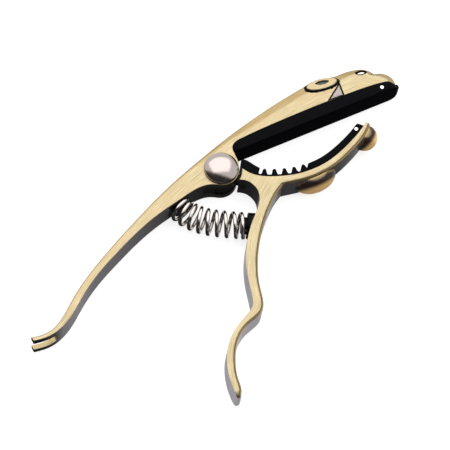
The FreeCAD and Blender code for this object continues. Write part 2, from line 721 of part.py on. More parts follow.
path = []
for i in range(total + 1):
    turn = i / steps
    (mx, my), (tx, ty) = spring_frame(coil_run(turn) / length)
    around = 2 * math.pi * turn + math.radians(SPRING_PHASE)
    side = coil * math.cos(around)
    path.append(Vector(mx - ty * side, my + tx * side, coil * math.sin(around)))
path_curve = Part.BSplineCurve()
path_curve.interpolate(path)
path_wire = Part.Wire([path_curve.toShape()])
start_tangent = path_curve.tangent(path_curve.FirstParameter)[0]
section = Part.Wire([Part.Circle(path[0], start_tangent, wire).toShape()])
spring = doc.addObject("Part::Feature", "spring")
spring.Label = "spring"
spring.Shape = path_wire.makePipeShell([section], True, True)
spring.Placement = Placement(Vector(size("pivot_x"), size("pivot_y"), 0), Rotation())

# -------------------------------------------------------------------- export
NODES = [o for o in doc.Objects if o.TypeId == "PartDesign::Body" or o.Name == "spring"]
doc.recompute()
for obj in doc.Objects:
    if "Invalid" in obj.State or "Error" in obj.State:
        raise ValueError("%s is in state %s" % (obj.Name, obj.State))
os.makedirs("parts", exist_ok=True)
for obj in NODES:
    shape = obj.Shape
    if shape.isNull() or not shape.isValid() or len(shape.Solids) != 1:
        raise ValueError("%s has no single valid solid" % obj.Label)
    shape.exportStep(os.path.join("parts", obj.Label + ".step"))
    box = shape.BoundBox
    print("%-22s vol %9.1f  x %7.2f %7.2f  y %7.2f %7.2f  z %6.2f %6.2f" % (
        obj.Label, shape.Volume, box.XMin, box.XMax, box.YMin, box.YMax, box.ZMin, box.ZMax,
    ))
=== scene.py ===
import math

import bpy
import numpy as np
from mathutils import Matrix, Vector
from mathutils.geometry import delaunay_2d_cdt


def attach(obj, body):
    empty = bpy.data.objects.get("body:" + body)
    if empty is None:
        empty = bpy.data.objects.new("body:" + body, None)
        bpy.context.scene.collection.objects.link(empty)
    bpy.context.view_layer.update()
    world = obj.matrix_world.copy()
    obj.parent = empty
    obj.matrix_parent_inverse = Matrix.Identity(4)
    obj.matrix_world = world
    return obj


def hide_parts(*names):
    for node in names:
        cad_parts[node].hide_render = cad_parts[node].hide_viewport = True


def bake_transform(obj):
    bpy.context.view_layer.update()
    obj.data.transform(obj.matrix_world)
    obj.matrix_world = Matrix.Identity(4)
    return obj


# A sprung trigger capo lying on its side: string lever, cradle lever, two
# silicone pads, pivot and coil spring.  Lengths are in millimetres about the
# pivot, at mid thickness, until a mesh is placed in the row frame.

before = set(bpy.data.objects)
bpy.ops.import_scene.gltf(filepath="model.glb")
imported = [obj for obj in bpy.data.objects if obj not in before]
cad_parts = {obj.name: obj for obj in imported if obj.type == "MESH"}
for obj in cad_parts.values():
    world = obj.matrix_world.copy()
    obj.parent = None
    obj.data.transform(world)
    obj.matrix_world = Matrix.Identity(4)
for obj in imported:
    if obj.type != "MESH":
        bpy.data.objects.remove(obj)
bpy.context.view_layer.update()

# ---------------------------------------------------------------- string arm
# Zinc casting, brushed and plated in antique brass: handle with a bridge-pin
# fork, clevis at the hub, and an animal's head above the string pad.  The
# clevis and fork slots are cut, the eye, nostril and tooth are cast relief.

PIVOT = (-42.0, -4.4)
HALF = 5.3
HUB_RADIUS = 6.5


def polar(radius, degrees):
    angle = math.radians(degrees)
    return (radius * math.cos(angle), radius * math.sin(angle))


def smooth_curve(points, step=0.4):
    """Points every step along a natural cubic spline through the given ones."""
    p = np.array(points, float)
    t = np.concatenate([[0], np.cumsum(np.linalg.norm(np.diff(p, axis=0), axis=1))])
    h = np.diff(t)
    n = len(t)
    system = np.eye(n)
    slope = np.zeros((n, 2))
    for i in range(1, n - 1):
        system[i, i - 1:i + 2] = (h[i - 1], 2 * (h[i - 1] + h[i]), h[i])
        slope[i] = 6 * ((p[i + 1] - p[i]) / h[i] - (p[i] - p[i - 1]) / h[i - 1])
    m = np.linalg.solve(system, slope)
    at = np.linspace(0, t[-1], max(2, int(math.ceil(t[-1] / step)) + 1))
    k = np.clip(np.searchsorted(t, at, side="right") - 1, 0, n - 2)
    a = ((t[k + 1] - at) / h[k])[:, None]
    b = ((at - t[k]) / h[k])[:, None]
    bend = ((a ** 3 - a) * m[k] + (b ** 3 - b) * m[k + 1]) * (h[k] ** 2)[:, None] / 6
    return a * p[k] + b * p[k + 1] + bend


def arc_points(centre, radius, start_deg, end_deg, step=0.4):
    count = max(2, int(abs(math.radians(end_deg - start_deg)) * radius / step) + 1)
    angles = np.radians(np.linspace(start_deg, end_deg, count))
    return np.stack([centre[0] + radius * np.cos(angles), centre[1] + radius * np.sin(angles)], 1)


def joined(parts):
    """One closed loop from curves that run end to end."""
    loop = [parts[0]]
    for part in parts[1:]:
        loop.append(part[1:])
    loop = np.concatenate(loop)
    if np.linalg.norm(loop[0] - loop[-1]) < 1e-3:
        loop = loop[:-1]
    return loop


def closed(loop):
    """The loop, ending on its first point again."""
    return np.concatenate([loop, loop[:1]])


def nearest(points, curve):
    """Distance from each point to a polyline, and where along it, in segments."""
    best = np.full(len(points), 1e9)
    where = np.zeros(len(points))
    start = curve[:-1]
    run = curve[1:] - start
    length = np.maximum((run ** 2).sum(1), 1e-12)
    for first in range(0, len(points), 400):
        chunk = points[first:first + 400]
        along = ((chunk[:, None, :] - start[None]) * run[None]).sum(2) / length[None]
        along = np.clip(along, 0, 1)
        gap = chunk[:, None, :] - (start[None] + along[:, :, None] * run[None])
        distance = np.sqrt((gap ** 2).sum(2))
        pick = distance.argmin(1)
        rows = np.arange(len(chunk))
        best[first:first + 400] = distance[rows, pick]
        where[first:first + 400] = pick + along[rows, pick]
    return best, where


def inside(points, loop):
    """Which points lie inside a closed loop."""
    x, y = points[:, 0][:, None], points[:, 1][:, None]
    x0, y0 = loop[:, 0][None], loop[:, 1][None]
    x1, y1 = np.roll(loop[:, 0], -1)[None], np.roll(loop[:, 1], -1)[None]
    crosses = (y0 > y) != (y1 > y)
    with np.errstate(divide="ignore", invalid="ignore"):
        at = x0 + (y - y0) * (x1 - x0) / (y1 - y0)
    return (crosses & (x < at)).sum(1) % 2 == 1


def ellipse_points(centre, half_length, half_width, degrees, grow=0.0, step=0.2):
    count = int(2 * math.pi * (half_length + half_width + 2 * grow) / 2 / step)
    t = np.linspace(0, 2 * math.pi, count, endpoint=False)
    x, y = (half_length + grow) * np.cos(t), (half_width + grow) * np.sin(t)
    c, s = math.cos(math.radians(degrees)), math.sin(math.radians(degrees))
    return np.stack([centre[0] + c * x - s * y, centre[1] + s * x + c * y], 1)


def ellipse_gap(points, centre, half_length, half_width, degrees):
    """Signed distance to an ellipse, near enough close to its edge."""
    c, s = math.cos(math.radians(degrees)), math.sin(math.radians(degrees))
    dx, dy = points[:, 0] - centre[0], points[:, 1] - centre[1]
    u = (c * dx + s * dy) / half_length
    v = (-s * dx + c * dy) / half_width
    reach = np.sqrt(u ** 2 + v ** 2) + 1e-9
    slope = np.sqrt((u / half_length) ** 2 + (v / half_width) ** 2) / reach + 1e-9
    return (reach - 1) / slope


def lattice(loop, spacing, keep_off, marks):
    """Points in rows inside a loop, clear of its edge and of the marked lines."""
    low, high = loop.min(0), loop.max(0)
    xs = np.arange(low[0], high[0], spacing)
    ys = np.arange(low[1], high[1], spacing * 0.866)
    grid = np.array([(x + (spacing / 2 if j % 2 else 0), y) for j, y in enumerate(ys) for x in xs])
    grid = grid[inside(grid, loop)]
    grid = grid[nearest(grid, closed(loop))[0] > keep_off]
    for mark in marks:
        grid = grid[nearest(grid, mark)[0] > 0.55 * spacing]
    return grid


def rings_inside(loop, offsets):
    """Rows of points that follow a loop at small distances inside it."""
    after, before = np.roll(loop, -1, 0), np.roll(loop, 1, 0)
    run = after - before
    run /= np.linalg.norm(run, axis=1)[:, None] + 1e-12
    inward = np.stack([run[:, 1], -run[:, 0]], 1)
    rows = []
    for offset in offsets:
        row = loop + inward * offset
        row = row[inside(row, loop)]
        rows.append(row[nearest(row, closed(loop))[0] > 0.93 * offset])
    return np.concatenate(rows)


def face_points(loop, spacing, keep_off, offsets):
    """Points over a plain face: a lattice, and rows that follow its edge."""
    spots = np.concatenate([lattice(loop, spacing, keep_off, []), rings_inside(loop, offsets)])
    return spots[inside(spots, loop) & (nearest(spots, closed(loop))[0] > 0.05)]


def solid_from(name, loop, extra, top, bottom, rows, push=None):
    """Closed mesh: two shaped faces inside a loop, joined by a wall of rows.

    top and bottom give each point's height and depth; push moves the wall out.
    """
    count = len(loop)
    flat = np.concatenate([loop, extra])
    edges = [(i, (i + 1) % count) for i in range(count)]
    found = delaunay_2d_cdt([Vector(p) for p in flat], edges, [], 0, 1e-5)
    placed = np.array([tuple(v) for v in found[0]])
    triangles = np.array([f for f in found[2] if len(f) == 3])
    middle = placed[triangles].mean(1)
    triangles = triangles[inside(middle, loop)]
    index = {}
    for new, olds in enumerate(found[3]):
        for old in olds:
            index[old] = new
    rim = [index[i] for i in range(count)]
    a, b, c = (placed[triangles[:, i]] for i in range(3))
    turn = (b[:, 0] - a[:, 0]) * (c[:, 1] - a[:, 1]) - (b[:, 1] - a[:, 1]) * (c[:, 0] - a[:, 0])
    triangles[turn < 0] = triangles[turn < 0][:, ::-1]
    high, low = top(placed), bottom(placed)
    total = len(placed)
    verts = [np.column_stack([placed, high]), np.column_stack([placed, -low])]
    faces = [tuple(f) for f in triangles] + [tuple(f[::-1] + total) for f in triangles]
    ring_high, ring_low = high[rim], -low[rim]
    normal = np.roll(loop, -1, 0) - np.roll(loop, 1, 0)
    normal = np.stack([-normal[:, 1], normal[:, 0]], 1)
    normal /= np.linalg.norm(normal, axis=1)[:, None]
    previous = list(rim)
    base = 2 * total
    for row in range(1, rows + 1):
        if row < rows:
            share = row / rows
            z = ring_high + (ring_low - ring_high) * share
            out = push(loop, normal, z) if push else 0
            ring = loop + normal * np.reshape(out, (-1, 1)) if push else loop
            verts.append(np.column_stack([ring, z]))
            current = [base + i for i in range(count)]
            base += count
        else:
            current = [r + total for r in rim]
        for i in range(count):
            j = (i + 1) % count
            faces.append((previous[i], previous[j], current[j], current[i]))
        previous = current
    return make_piece(name, np.concatenate(verts), faces)


def in_scene(name, data):
    """Object in the scene, made from a mesh, camera or light."""
    made = bpy.data.objects.new(name, data)
    bpy.context.scene.collection.objects.link(made)
    return made


def make_piece(name, verts, faces):
    """Mesh object in the row frame from points in millimetres about the pivot."""
    mesh = bpy.data.meshes.new(name)
    placed = (np.asarray(verts, float) + np.array([PIVOT[0], PIVOT[1], 0])) / 1000
    mesh.from_pydata([tuple(v) for v in placed], [], [tuple(int(i) for i in f) for f in faces])
    mesh.validate()
    piece = in_scene(name, mesh)
    shade(piece)
    return piece


def shade(piece, crease_deg=32.0):
    """Smooth shading, with edges sharper than the crease angle kept sharp."""
    mesh = piece.data
    mesh.polygons.foreach_set("use_smooth", [True] * len(mesh.polygons))
    mesh.set_sharp_from_angle(angle=math.radians(crease_deg))
    mesh.update()


def cut(piece, *cutters):
    """The piece less the cutters, which are removed."""
    for cutter in cutters:
        step = piece.modifiers.new("cut", "BOOLEAN")
        step.operation = "DIFFERENCE"
        step.solver = "EXACT"
        step.object = cutter
    depsgraph = bpy.context.evaluated_depsgraph_get()
    mesh = bpy.data.meshes.new_from_object(piece.evaluated_get(depsgraph))
    piece.modifiers.clear()
    piece.data = mesh
    for cutter in cutters:
        bpy.data.objects.remove(cutter)
    shade(piece)


def block(name, ring, other):
    """Straight-sided block between two rings of points."""
    count = len(ring)
    faces = [(i, (i + 1) % count, count + (i + 1) % count, count + i) for i in range(count)]
    faces += [tuple(range(count - 1, -1, -1)), tuple(range(count, 2 * count))]
    return make_piece(name, ring + other, faces)


def prism(name, loop, low, high):
    """Block that stands on a loop."""
    return block(name, *([(x, y, z) for x, y in loop] for z in (low, high)))


def turned(name, profile, centre, direction, segments=64):
    """Solid of revolution: profile of (run, radius) about a line from centre."""
    axis = Vector(direction).normalized()
    side = axis.orthogonal().normalized()
    other = axis.cross(side)
    verts, faces = [], []
    for run, radius in profile:
        for i in range(segments):
            angle = 2 * math.pi * i / segments
            point = Vector(centre) + axis * run
            point += (side * math.cos(angle) + other * math.sin(angle)) * radius
            verts.append(tuple(point))
    for row in range(len(profile) - 1):
        for i in range(segments):
            j = (i + 1) % segments
            here, there = row * segments, (row + 1) * segments
            faces.append((here + i, here + j, there + j, there + i))
    faces.append(tuple(range(segments - 1, -1, -1)))
    faces.append(tuple((len(profile) - 1) * segments + i for i in range(segments)))
    return make_piece(name, verts, faces)


def merged(name, pieces):
    """One object from several."""
    verts, faces = [], []
    for piece in pieces:
        base = len(verts)
        verts += [tuple(v.co) for v in piece.data.vertices]
        faces += [tuple(base + i for i in p.vertices) for p in piece.data.polygons]
        bpy.data.objects.remove(piece)
    mesh = bpy.data.meshes.new(name)
    mesh.from_pydata(verts, [], faces)
    result = in_scene(name, mesh)
    shade(result)
    return result


def linear(hex_colour):
    """sRGB hex to linear colour."""
    values = [int(hex_colour[i:i + 2], 16) / 255 for i in (1, 3, 5)]
    values = [v / 12.92 if v <= 0.04045 else ((v + 0.055) / 1.055) ** 2.4 for v in values]
    return (*values, 1.0)


def add(tree, kind, settings=None, links=None):
    """A shader node with its settings and incoming links."""
    node = tree.nodes.new(kind)
    for key, value in (settings or {}).items():
        if isinstance(key, str) and hasattr(node, key):
            setattr(node, key, value)
        else:
            node.inputs[key].default_value = value
    for key, source in (links or {}).items():
        tree.links.new(source, node.inputs[key])
    return node


def new_material(name):
    material = bpy.data.materials.new(name)
    material.use_nodes = True
    material.node_tree.nodes.clear()
    return material, material.node_tree


# Aged brass plate: pale gold where the brush has bared it, with painted shade in a deeper brass on the
# bevel, grey to black on the walls where the patina is left, with painted shade darkest by the pivot. The
# lobes carry a painted shadow by the rim and a painted warm gold highlight on their lower side.
BRUSH_LOW = "#8E8162"
BRUSH_HIGH = "#C0B18E"
BRASS_ROSY = "#AD9472"
# Painted shade for the bevels.
BRASS_BEVEL_SHADE = "#A48853"
# Lobes: a painted shadow by the rim and a painted warm gold highlight.
LOBE_PAINTED_SHADOW = "#2C1E1B"
LOBE_PAINTED_HIGHLIGHT = "#E8BE7E"
# Walls: oxide patina, with painted shade at the dark end.
PATINA_AND_SHADE_DARK = "#1B1917"
PATINA_GREY = "#CFCBD0"
# Recesses: patina, with painted shade between the parts.
RECESS_BLACK = "#131114"
# Brushing in millimetres.  Real grit leaves lines about 0.05 apart, too fine to
# show, so they are drawn coarser.
LINE_SPACING = 0.1333
LINE_LENGTH = 9.09
LINE_DEPTH = 0.02
BLOTCH = 11.1
FIELD_RUN = 200.0


def antique_brass(name):
    """Brass-plated casting, aged, then brushed along its outer edge."""
    material, tree = new_material(name)
    painted = {
        field: add(tree, "ShaderNodeAttribute", {"attribute_name": field}).outputs["Fac"]
        for field in ("recess", "soot", "edge", "lobe", "polish", "along", "across")
    }
    normal = add(tree, "ShaderNodeNewGeometry").outputs["Normal"]
    facing = add(tree, "ShaderNodeSeparateXYZ", links={0: normal}).outputs[2]
    facing = add(tree, "ShaderNodeMath", {"operation": "ABSOLUTE"}, {0: facing}).outputs[0]
    flatness = add(
        tree, "ShaderNodeMapRange",
        {"interpolation_type": "SMOOTHSTEP", "From Min": 0.22, "From Max": 0.70}, {"Value": facing},
    ).outputs["Result"]
    brushed = add(tree, "ShaderNodeCombineXYZ", links={0: painted["along"], 1: painted["across"]}).outputs[0]
    brushed = add(
        tree, "ShaderNodeMapping",
        {"Scale": (FIELD_RUN / LINE_LENGTH, FIELD_RUN / LINE_SPACING, 1.0)}, {"Vector": brushed},
    ).outputs[0]
    lines = add(
        tree, "ShaderNodeTexNoise", {"Scale": 1.0, "Detail": 3.0, "Roughness": 0.65}, {"Vector": brushed},
    ).outputs["Fac"]
    lit_line = add(
        tree, "ShaderNodeMapRange",
        {"interpolation_type": "SMOOTHSTEP", "From Min": 0.34, "From Max": 0.66}, {"Value": lines},
    ).outputs["Result"]
    place = add(tree, "ShaderNodeTexCoord").outputs["Object"]
    blotch = add(
        tree, "ShaderNodeTexNoise", {"Scale": 1000 / BLOTCH, "Detail": 4.0}, {"Vector": place},
    ).outputs["Fac"]
    rosy = add(
        tree, "ShaderNodeMapRange",
        {"interpolation_type": "SMOOTHSTEP", "From Min": 0.35, "From Max": 0.8, "To Max": 0.35},
        {"Value": blotch},
    ).outputs["Result"]
    face = add(
        tree, "ShaderNodeMix",
        {"data_type": "RGBA", 6: linear(BRUSH_LOW), 7: linear(BRUSH_HIGH)}, {0: lit_line},
    ).outputs[2]
    # Random rosy blotches, then painted shade in a deeper brass on the bevel.
    for share, tone in ((rosy, BRASS_ROSY), (painted["edge"], BRASS_BEVEL_SHADE)):
        face = add(
            tree, "ShaderNodeMix", {"data_type": "RGBA", 7: linear(tone)}, {0: share, 6: face},
        ).outputs[2]
    # Walls go from grey to black, patina with painted shade; the lobes go from a painted shadow to a painted
    # gold highlight.
    wall, lobe_shadow_and_highlight = (
        add(
            tree, "ShaderNodeMix",
            {"data_type": "RGBA", 6: linear(low), 7: linear(high)}, {0: painted[field]},
        ).outputs[2]
        for field, low, high in (("soot", PATINA_GREY, PATINA_AND_SHADE_DARK), ("polish", LOBE_PAINTED_SHADOW, LOBE_PAINTED_HIGHLIGHT))
    )
    colour = wall
    for share, tone in ((flatness, face), (painted["lobe"], lobe_shadow_and_highlight)):
        colour = add(
            tree, "ShaderNodeMix", {"data_type": "RGBA"}, {0: share, 6: colour, 7: tone},
        ).outputs[2]
    # Black in the recesses: patina, with painted shade between the parts.
    colour = add(
        tree, "ShaderNodeMix",
        {"data_type": "RGBA", 7: linear(RECESS_BLACK)}, {0: painted["recess"], 6: colour},
    ).outputs[2]
    rough = add(
        tree, "ShaderNodeMapRange",
        {
            "interpolation_type": "SMOOTHSTEP", "From Min": 0.2, "From Max": 0.8,
            "To Min": 0.30, "To Max": 0.42,
        },
        {"Value": lines},
    ).outputs["Result"]
    relief = add(
        tree, "ShaderNodeBump", {"Strength": 0.25, "Distance": LINE_DEPTH / 1000}, {"Height": lines},
    ).outputs[0]
    # The patina on the walls is oxide, so only the polished faces are fully metal.
    bare = add(tree, "ShaderNodeMath", {"operation": "MAXIMUM", 1: 0.3}, {0: flatness}).outputs[0]
    bare = add(
        tree, "ShaderNodeMath", {"operation": "MULTIPLY_ADD", 1: -0.5}, {0: painted["lobe"], 2: bare},
    ).outputs[0]
    bare = add(tree, "ShaderNodeMath", {"operation": "MAXIMUM", 1: 0.3}, {0: bare}).outputs[0]
    surface = add(
        tree, "ShaderNodeBsdfPrincipled",
        links={"Base Color": colour, "Roughness": rough, "Normal": relief, "Metallic": bare},
    )
    add(tree, "ShaderNodeOutputMaterial", links={0: surface.outputs[0]})
    return material


def brush_lines(edge):
    """Rules for the distance along a curve and across from it, as shares of one run."""
    steps = np.linalg.norm(np.diff(edge, axis=0), axis=1)
    run = np.concatenate([[0], np.cumsum(steps)]) / FIELD_RUN

    def along(points):
        return np.interp(nearest(points[:, :2], edge)[1], np.arange(len(edge)), run)

    def across(points):
        return nearest(points[:, :2], edge)[0] / FIELD_RUN

    return along, across


def paint(piece, **fields):
    """Point attributes, each from a function of the points in millimetres."""
    count = len(piece.data.vertices)
    co = np.zeros(count * 3, np.float32)
    piece.data.vertices.foreach_get("co", co)
    points = co.reshape(-1, 3) * 1000 - np.array([PIVOT[0], PIVOT[1], 0])
    for name, rule in fields.items():
        attribute = piece.data.attributes.new(name, "FLOAT", "POINT")
        attribute.data.foreach_set("value", np.clip(rule(points), 0, 1).astype(np.float32))


ARM_OUTER = [
    (-88.0, -31.3), (-83.6, -32.0), (-79.3, -31.2), (-74.6, -28.4), (-67.5, -22.8),
    (-57.0, -16.1), (-45.0, -9.8), (-32.0, -3.6), (-20.0, 1.6), (-6.0, 6.6),
    (8.0, 11.1), (22.0, 14.75), (34.0, 17.3), (43.0, 18.8), (50.4, 19.35),
    (56.0, 18.1), (59.6, 18.1), (63.2, 17.7), (66.6, 16.7), (68.7, 15.0), (70.1, 13.0),
]
NOSE = [(70.1, 13.0), (72.5, 12.1), (74.5, 10.3), (75.4, 8.2), (75.2, 5.6)]
PAD_SEAT = [
    (75.2, 5.6), (73.6, 7.0), (70.8, 7.9), (65.5, 8.5), (57.0, 8.9),
    (44.0, 9.15), (30.0, 9.0), (18.0, 8.6), (11.5, 8.2),
]
PAD_CORNER = [(11.5, 8.2), (9.0, 7.5), (7.6, 6.0), (7.3, 4.0)]
HUB_SIDE = [(7.3, 4.0), (7.2, 2.2), (7.0, 0.2), polar(6.5, -20)]
ARM_INNER = [
    polar(6.5, -120), (-5.4, -4.4), (-8.4, -3.6), (-12.8, -3.75), (-19.0, -5.0),
    (-28.0, -7.05), (-37.0, -10.0), (-47.0, -14.3), (-56.5, -18.9), (-66.0, -25.1),
    (-73.0, -30.4), (-77.6, -32.7), (-82.5, -33.7), (-87.9, -33.1),
]
# Bevel along the outer edge: x, how far it reaches in, how deep it falls.
BEVEL_X = [-88, -60, -32, -20, -6, 8, 22, 34, 44, 52, 59, 64, 68, 70]
BEVEL_WIDE = [0.45, 0.6, 0.7, 0.9, 1.3, 2.2, 3.3, 3.6, 3.7, 3.4, 2.8, 2.4, 2.0, 1.6]
BEVEL_DEEP = [0.35, 0.45, 0.5, 0.6, 0.8, 1.1, 1.4, 1.6, 1.6, 1.5, 1.5, 1.5, 1.4, 1.3]
EYE = ((49.6, 16.45), 6.0, 2.2, -7.0)
PUPIL = ((49.8, 16.8), 2.7, 0.7, -10.0)
NOSTRIL = ((65.4, 15.0), 2.4, 1.2, -12.0)
TOOTH = [(48.3, 9.3), (55.2, 9.1), (56.0, 14.5)]
CREASE = [(70.1, 13.0), (69.2, 12.5), (67.9, 13.2)]
EDGE_ROUND = 0.28
BOSS_HIGH = 0.45
GROOVE_WIDE, GROOVE_DEEP = 0.75, 0.85
PUPIL_DEEP = 0.55
NOSTRIL_DEEP = 1.55
TOOTH_DEEP = 0.5
CREASE_WIDE, CREASE_DEEP = 0.4, 0.45
CAP_RECESS, CAP_RECESS_DEEP = 6.25, 0.4

outer_line = smooth_curve(ARM_OUTER)
nose_line = smooth_curve(NOSE, 0.25)
arm_loop = joined([
    outer_line, nose_line, smooth_curve(PAD_SEAT), smooth_curve(PAD_CORNER, 0.25),
    smooth_curve(HUB_SIDE, 0.25), arc_points((0, 0), HUB_RADIUS, -20, -120, 0.25), smooth_curve(ARM_INNER),
    smooth_curve([ARM_INNER[-1], ARM_OUTER[0]], 0.25),
])
arm_closed = closed(arm_loop)
bevel_line = np.concatenate([outer_line, nose_line[1:]])


def rounded_drop(distance, radius):
    """How far a rounded edge falls at a distance inside it."""
    near = np.clip(radius - distance, 0, radius)
    return radius - np.sqrt(np.maximum(radius ** 2 - near ** 2, 0))


def soft_positive(value, blend):
    """max(value, 0) with a rounded corner."""
    middle = (value + blend) ** 2 / (4 * blend)
    return np.where(value > blend, value, np.where(value < -blend, 0, middle))


def bevel_at(points):
    """Distance to the outer edge, the nearest point of it, and the bevel's width there."""
    reach, where = nearest(points[:, :2], bevel_line)
    at = bevel_line[np.clip(np.round(where).astype(int), 0, len(bevel_line) - 1)]
    return reach, at, np.interp(at[:, 0], BEVEL_X, BEVEL_WIDE)


def arm_face(points, front):
    """Height of a face: bevel, rounded edge, eye boss, nostril, tooth, crease, cap seat."""
    reach, at, wide = bevel_at(points)
    deep = np.interp(at[:, 0], BEVEL_X, BEVEL_DEEP)
    nose_part = np.clip((at[:, 0] - 70) / 4, 0, 1)
    wide = wide + 0.9 * nose_part
    z = HALF - deep * soft_positive(1 - reach / wide, 0.10)
    edge = nearest(points, arm_closed)[0]
    z = z - rounded_drop(edge, EDGE_ROUND)
    eye = ellipse_gap(points, *EYE)
    boss_top = HALF + (BOSS_HIGH if front else 0.0) - 0.25 * np.clip(1 + eye / 2.2, 0, 1) ** 2
    boss = boss_top - rounded_drop(-eye, 0.25)
    z = np.where(eye < 0, boss, z)
    z = np.where((eye >= 0) & (eye < GROOVE_WIDE), np.minimum(z, HALF - GROOVE_DEEP), z)
    z = np.where(ellipse_gap(points, *PUPIL) < 0, boss_top - PUPIL_DEEP, z)
    z = np.where(ellipse_gap(points, *NOSTRIL) < 0, HALF - NOSTRIL_DEEP, z)
    z = np.where(inside(points, np.array(TOOTH)), HALF - TOOTH_DEEP, z)
    crease = nearest(points, smooth_curve(CREASE, 0.1))[0]
    z = z - CREASE_DEEP * np.clip(1 - crease / CREASE_WIDE, 0, 1)
    if front:
        under_cap = np.hypot(points[:, 0], points[:, 1]) < CAP_RECESS
        z = np.where(under_cap, HALF - CAP_RECESS_DEEP, z)
    return z


def both_sides(curve, offset):
    """The curve moved a little to each side, to hold a sharp step."""
    run = np.gradient(curve, axis=0)
    run /= np.linalg.norm(run, axis=1)[:, None]
    side = np.stack([-run[:, 1], run[:, 0]], 1) * offset
    return np.concatenate([curve + side, curve - side])


tooth_loop = joined([smooth_curve([TOOTH[i], TOOTH[(i + 1) % 3]], 0.2) for i in range(3)])
tooth_closed = closed(tooth_loop)
STEP_HALF = 0.03
marks = [ellipse_points(*EYE, grow=-0.3), both_sides(tooth_closed, STEP_HALF), smooth_curve(CREASE, 0.1)]
for beside in (-STEP_HALF, STEP_HALF):
    marks += [ellipse_points(*shape, grow=beside) for shape in (EYE, PUPIL, NOSTRIL)]
    marks.append(ellipse_points(*EYE, grow=GROOVE_WIDE + beside))
    marks.append(arc_points((0, 0), CAP_RECESS + beside, 0, 359, 0.25))


def on_head(points):
    return (points[:, 0] > 40) & (points[:, 0] < 76) & (points[:, 1] > 7)


ridge_rows = rings_inside(arm_loop, [0.07, 0.16, 0.28])
coarse = lattice(arm_loop, 0.7, 0.4, marks)
fine = lattice(arm_loop, 0.3, 0.4, marks)
extra = np.concatenate([coarse[~on_head(coarse)], fine[on_head(fine)], ridge_rows] + marks)
closed_gap = nearest(extra, arm_closed)[0]
extra = extra[inside(extra, arm_loop) & (closed_gap > 0.05)]
string_arm = solid_from(
    "string_arm_casting", arm_loop, extra,
    lambda p: arm_face(p, True), lambda p: arm_face(p, False), rows=8,
)
CLEVIS_HALF, CLEVIS_RADIUS = 2.15, 6.6
STOP_OUTER, STOP_INNER, STOP_FROM, STOP_REST = 8.9, 4.0, 145.0, 192.0
FORK_HALF, FORK_END, FORK_MOUTH = 2.5, -80.9, -92.0
FORK_RANGE = (-40.0, -25.0)
PIN_HEAD_BORE, PIN_HEAD_SEAT = 3.45, -4.2
stop_loop = joined([
    arc_points((0, 0), STOP_OUTER, STOP_FROM, STOP_REST),
    arc_points((0, 0), STOP_INNER, STOP_REST, STOP_FROM),
])
slot_angles = np.radians(np.linspace(90, -90, 25))
slot_round = [(FORK_END + FORK_HALF * math.cos(a), FORK_HALF * math.sin(a)) for a in slot_angles]
slot_side = [(FORK_MOUTH, FORK_HALF)] + slot_round + [(FORK_MOUTH, -FORK_HALF)]
cut(
    string_arm,
    prism("clevis_cut", arc_points((0, 0), CLEVIS_RADIUS, 0, 357, 0.3), -CLEVIS_HALF, CLEVIS_HALF),
    prism("stop_cut", stop_loop, -CLEVIS_HALF, CLEVIS_HALF),
    block("fork_cut", *([(x, y, z) for x, z in slot_side] for y in FORK_RANGE)),
    prism("rear_cut", arc_points((0, 0), PIN_HEAD_BORE, 0, 355, 0.3), -6.5, PIN_HEAD_SEAT),
)

# Spring post, cast under the handle.  The spring leaves it squarely and bends
# towards the seat on the other casting.
SPRING_START = (-19.05, -5.2)
SPRING_END = (-0.2, -22.0)
SPRING_HEADINGS = (-77.5, -29.0)
SPRING_REACH = (8.5, 9.5)


def spring_frame(share):
    """Point and direction of the spring's middle line, share 0 to 1."""
    first, last = np.array(SPRING_START), np.array(SPRING_END)
    second = first + polar(SPRING_REACH[0], SPRING_HEADINGS[0])
    third = last - polar(SPRING_REACH[1], SPRING_HEADINGS[1])
    rest = 1 - share
    point = rest ** 3 * first + 3 * rest ** 2 * share * second
    point = point + 3 * rest * share ** 2 * third + share ** 3 * last
    run = rest ** 2 * (second - first) + 2 * rest * share * (third - second) + share ** 2 * (last - third)
    return point, run / np.linalg.norm(run)


start_point, start_way = spring_frame(0.0)
post = turned(
    "post", [(-3.0, 3.0), (1.9, 3.1), (2.2, 2.7)], (*start_point, 0), (*start_way, 0),
)
string_arm = merged("string_arm_casting", [string_arm, post])


def arm_recess(points):
    """Dark in every recess, eye groove, pupil, nostril, round the tooth, clevis and post: patina in the
    hollows, with painted shade in them, most of all in the clevis between the castings and round the spring
    post.
    """
    flat = points[:, :2]
    depth = HALF - np.abs(points[:, 2])
    eye = ellipse_gap(flat, *EYE)
    groove = np.clip((0.79 - eye) / 0.05, 0, 1) * np.clip((eye + 0.04) / 0.03, 0, 1)
    pupil = ellipse_gap(flat, *PUPIL) < 0.02
    nostril = ellipse_gap(flat, *NOSTRIL) < 0.02
    tooth = (nearest(flat, tooth_closed)[0] < 0.55) & (depth > 0.2) & inside(flat, np.array(TOOTH))
    crease = nearest(flat, smooth_curve(CREASE, 0.1))[0] < 0.25
    recess = groove + pupil + nostril + tooth + 0.8 * crease
    inner = (np.hypot(flat[:, 0], flat[:, 1]) < 9.3) & (np.abs(points[:, 2]) < 2.2)
    inner &= nearest(flat, outer_line)[0] > 0.2
    post = (np.hypot(flat[:, 0] - start_point[0], flat[:, 1] - start_point[1]) < 4.5) & (depth > 1.0)
    return recess * (depth < 2.0) + 0.97 * inner + 0.9 * post


def arm_soot(points):
    """Wall colour, patina with painted shade: black by the pivot and at the fork, grey along the handle."""
    places = [-86, -80, -76, -45, -12, 4, 12, 76]
    return np.interp(points[:, 0], places, [1.0, 0.9, 0.5, 0.68, 0.96, 1.0, 0.93, 0.87])


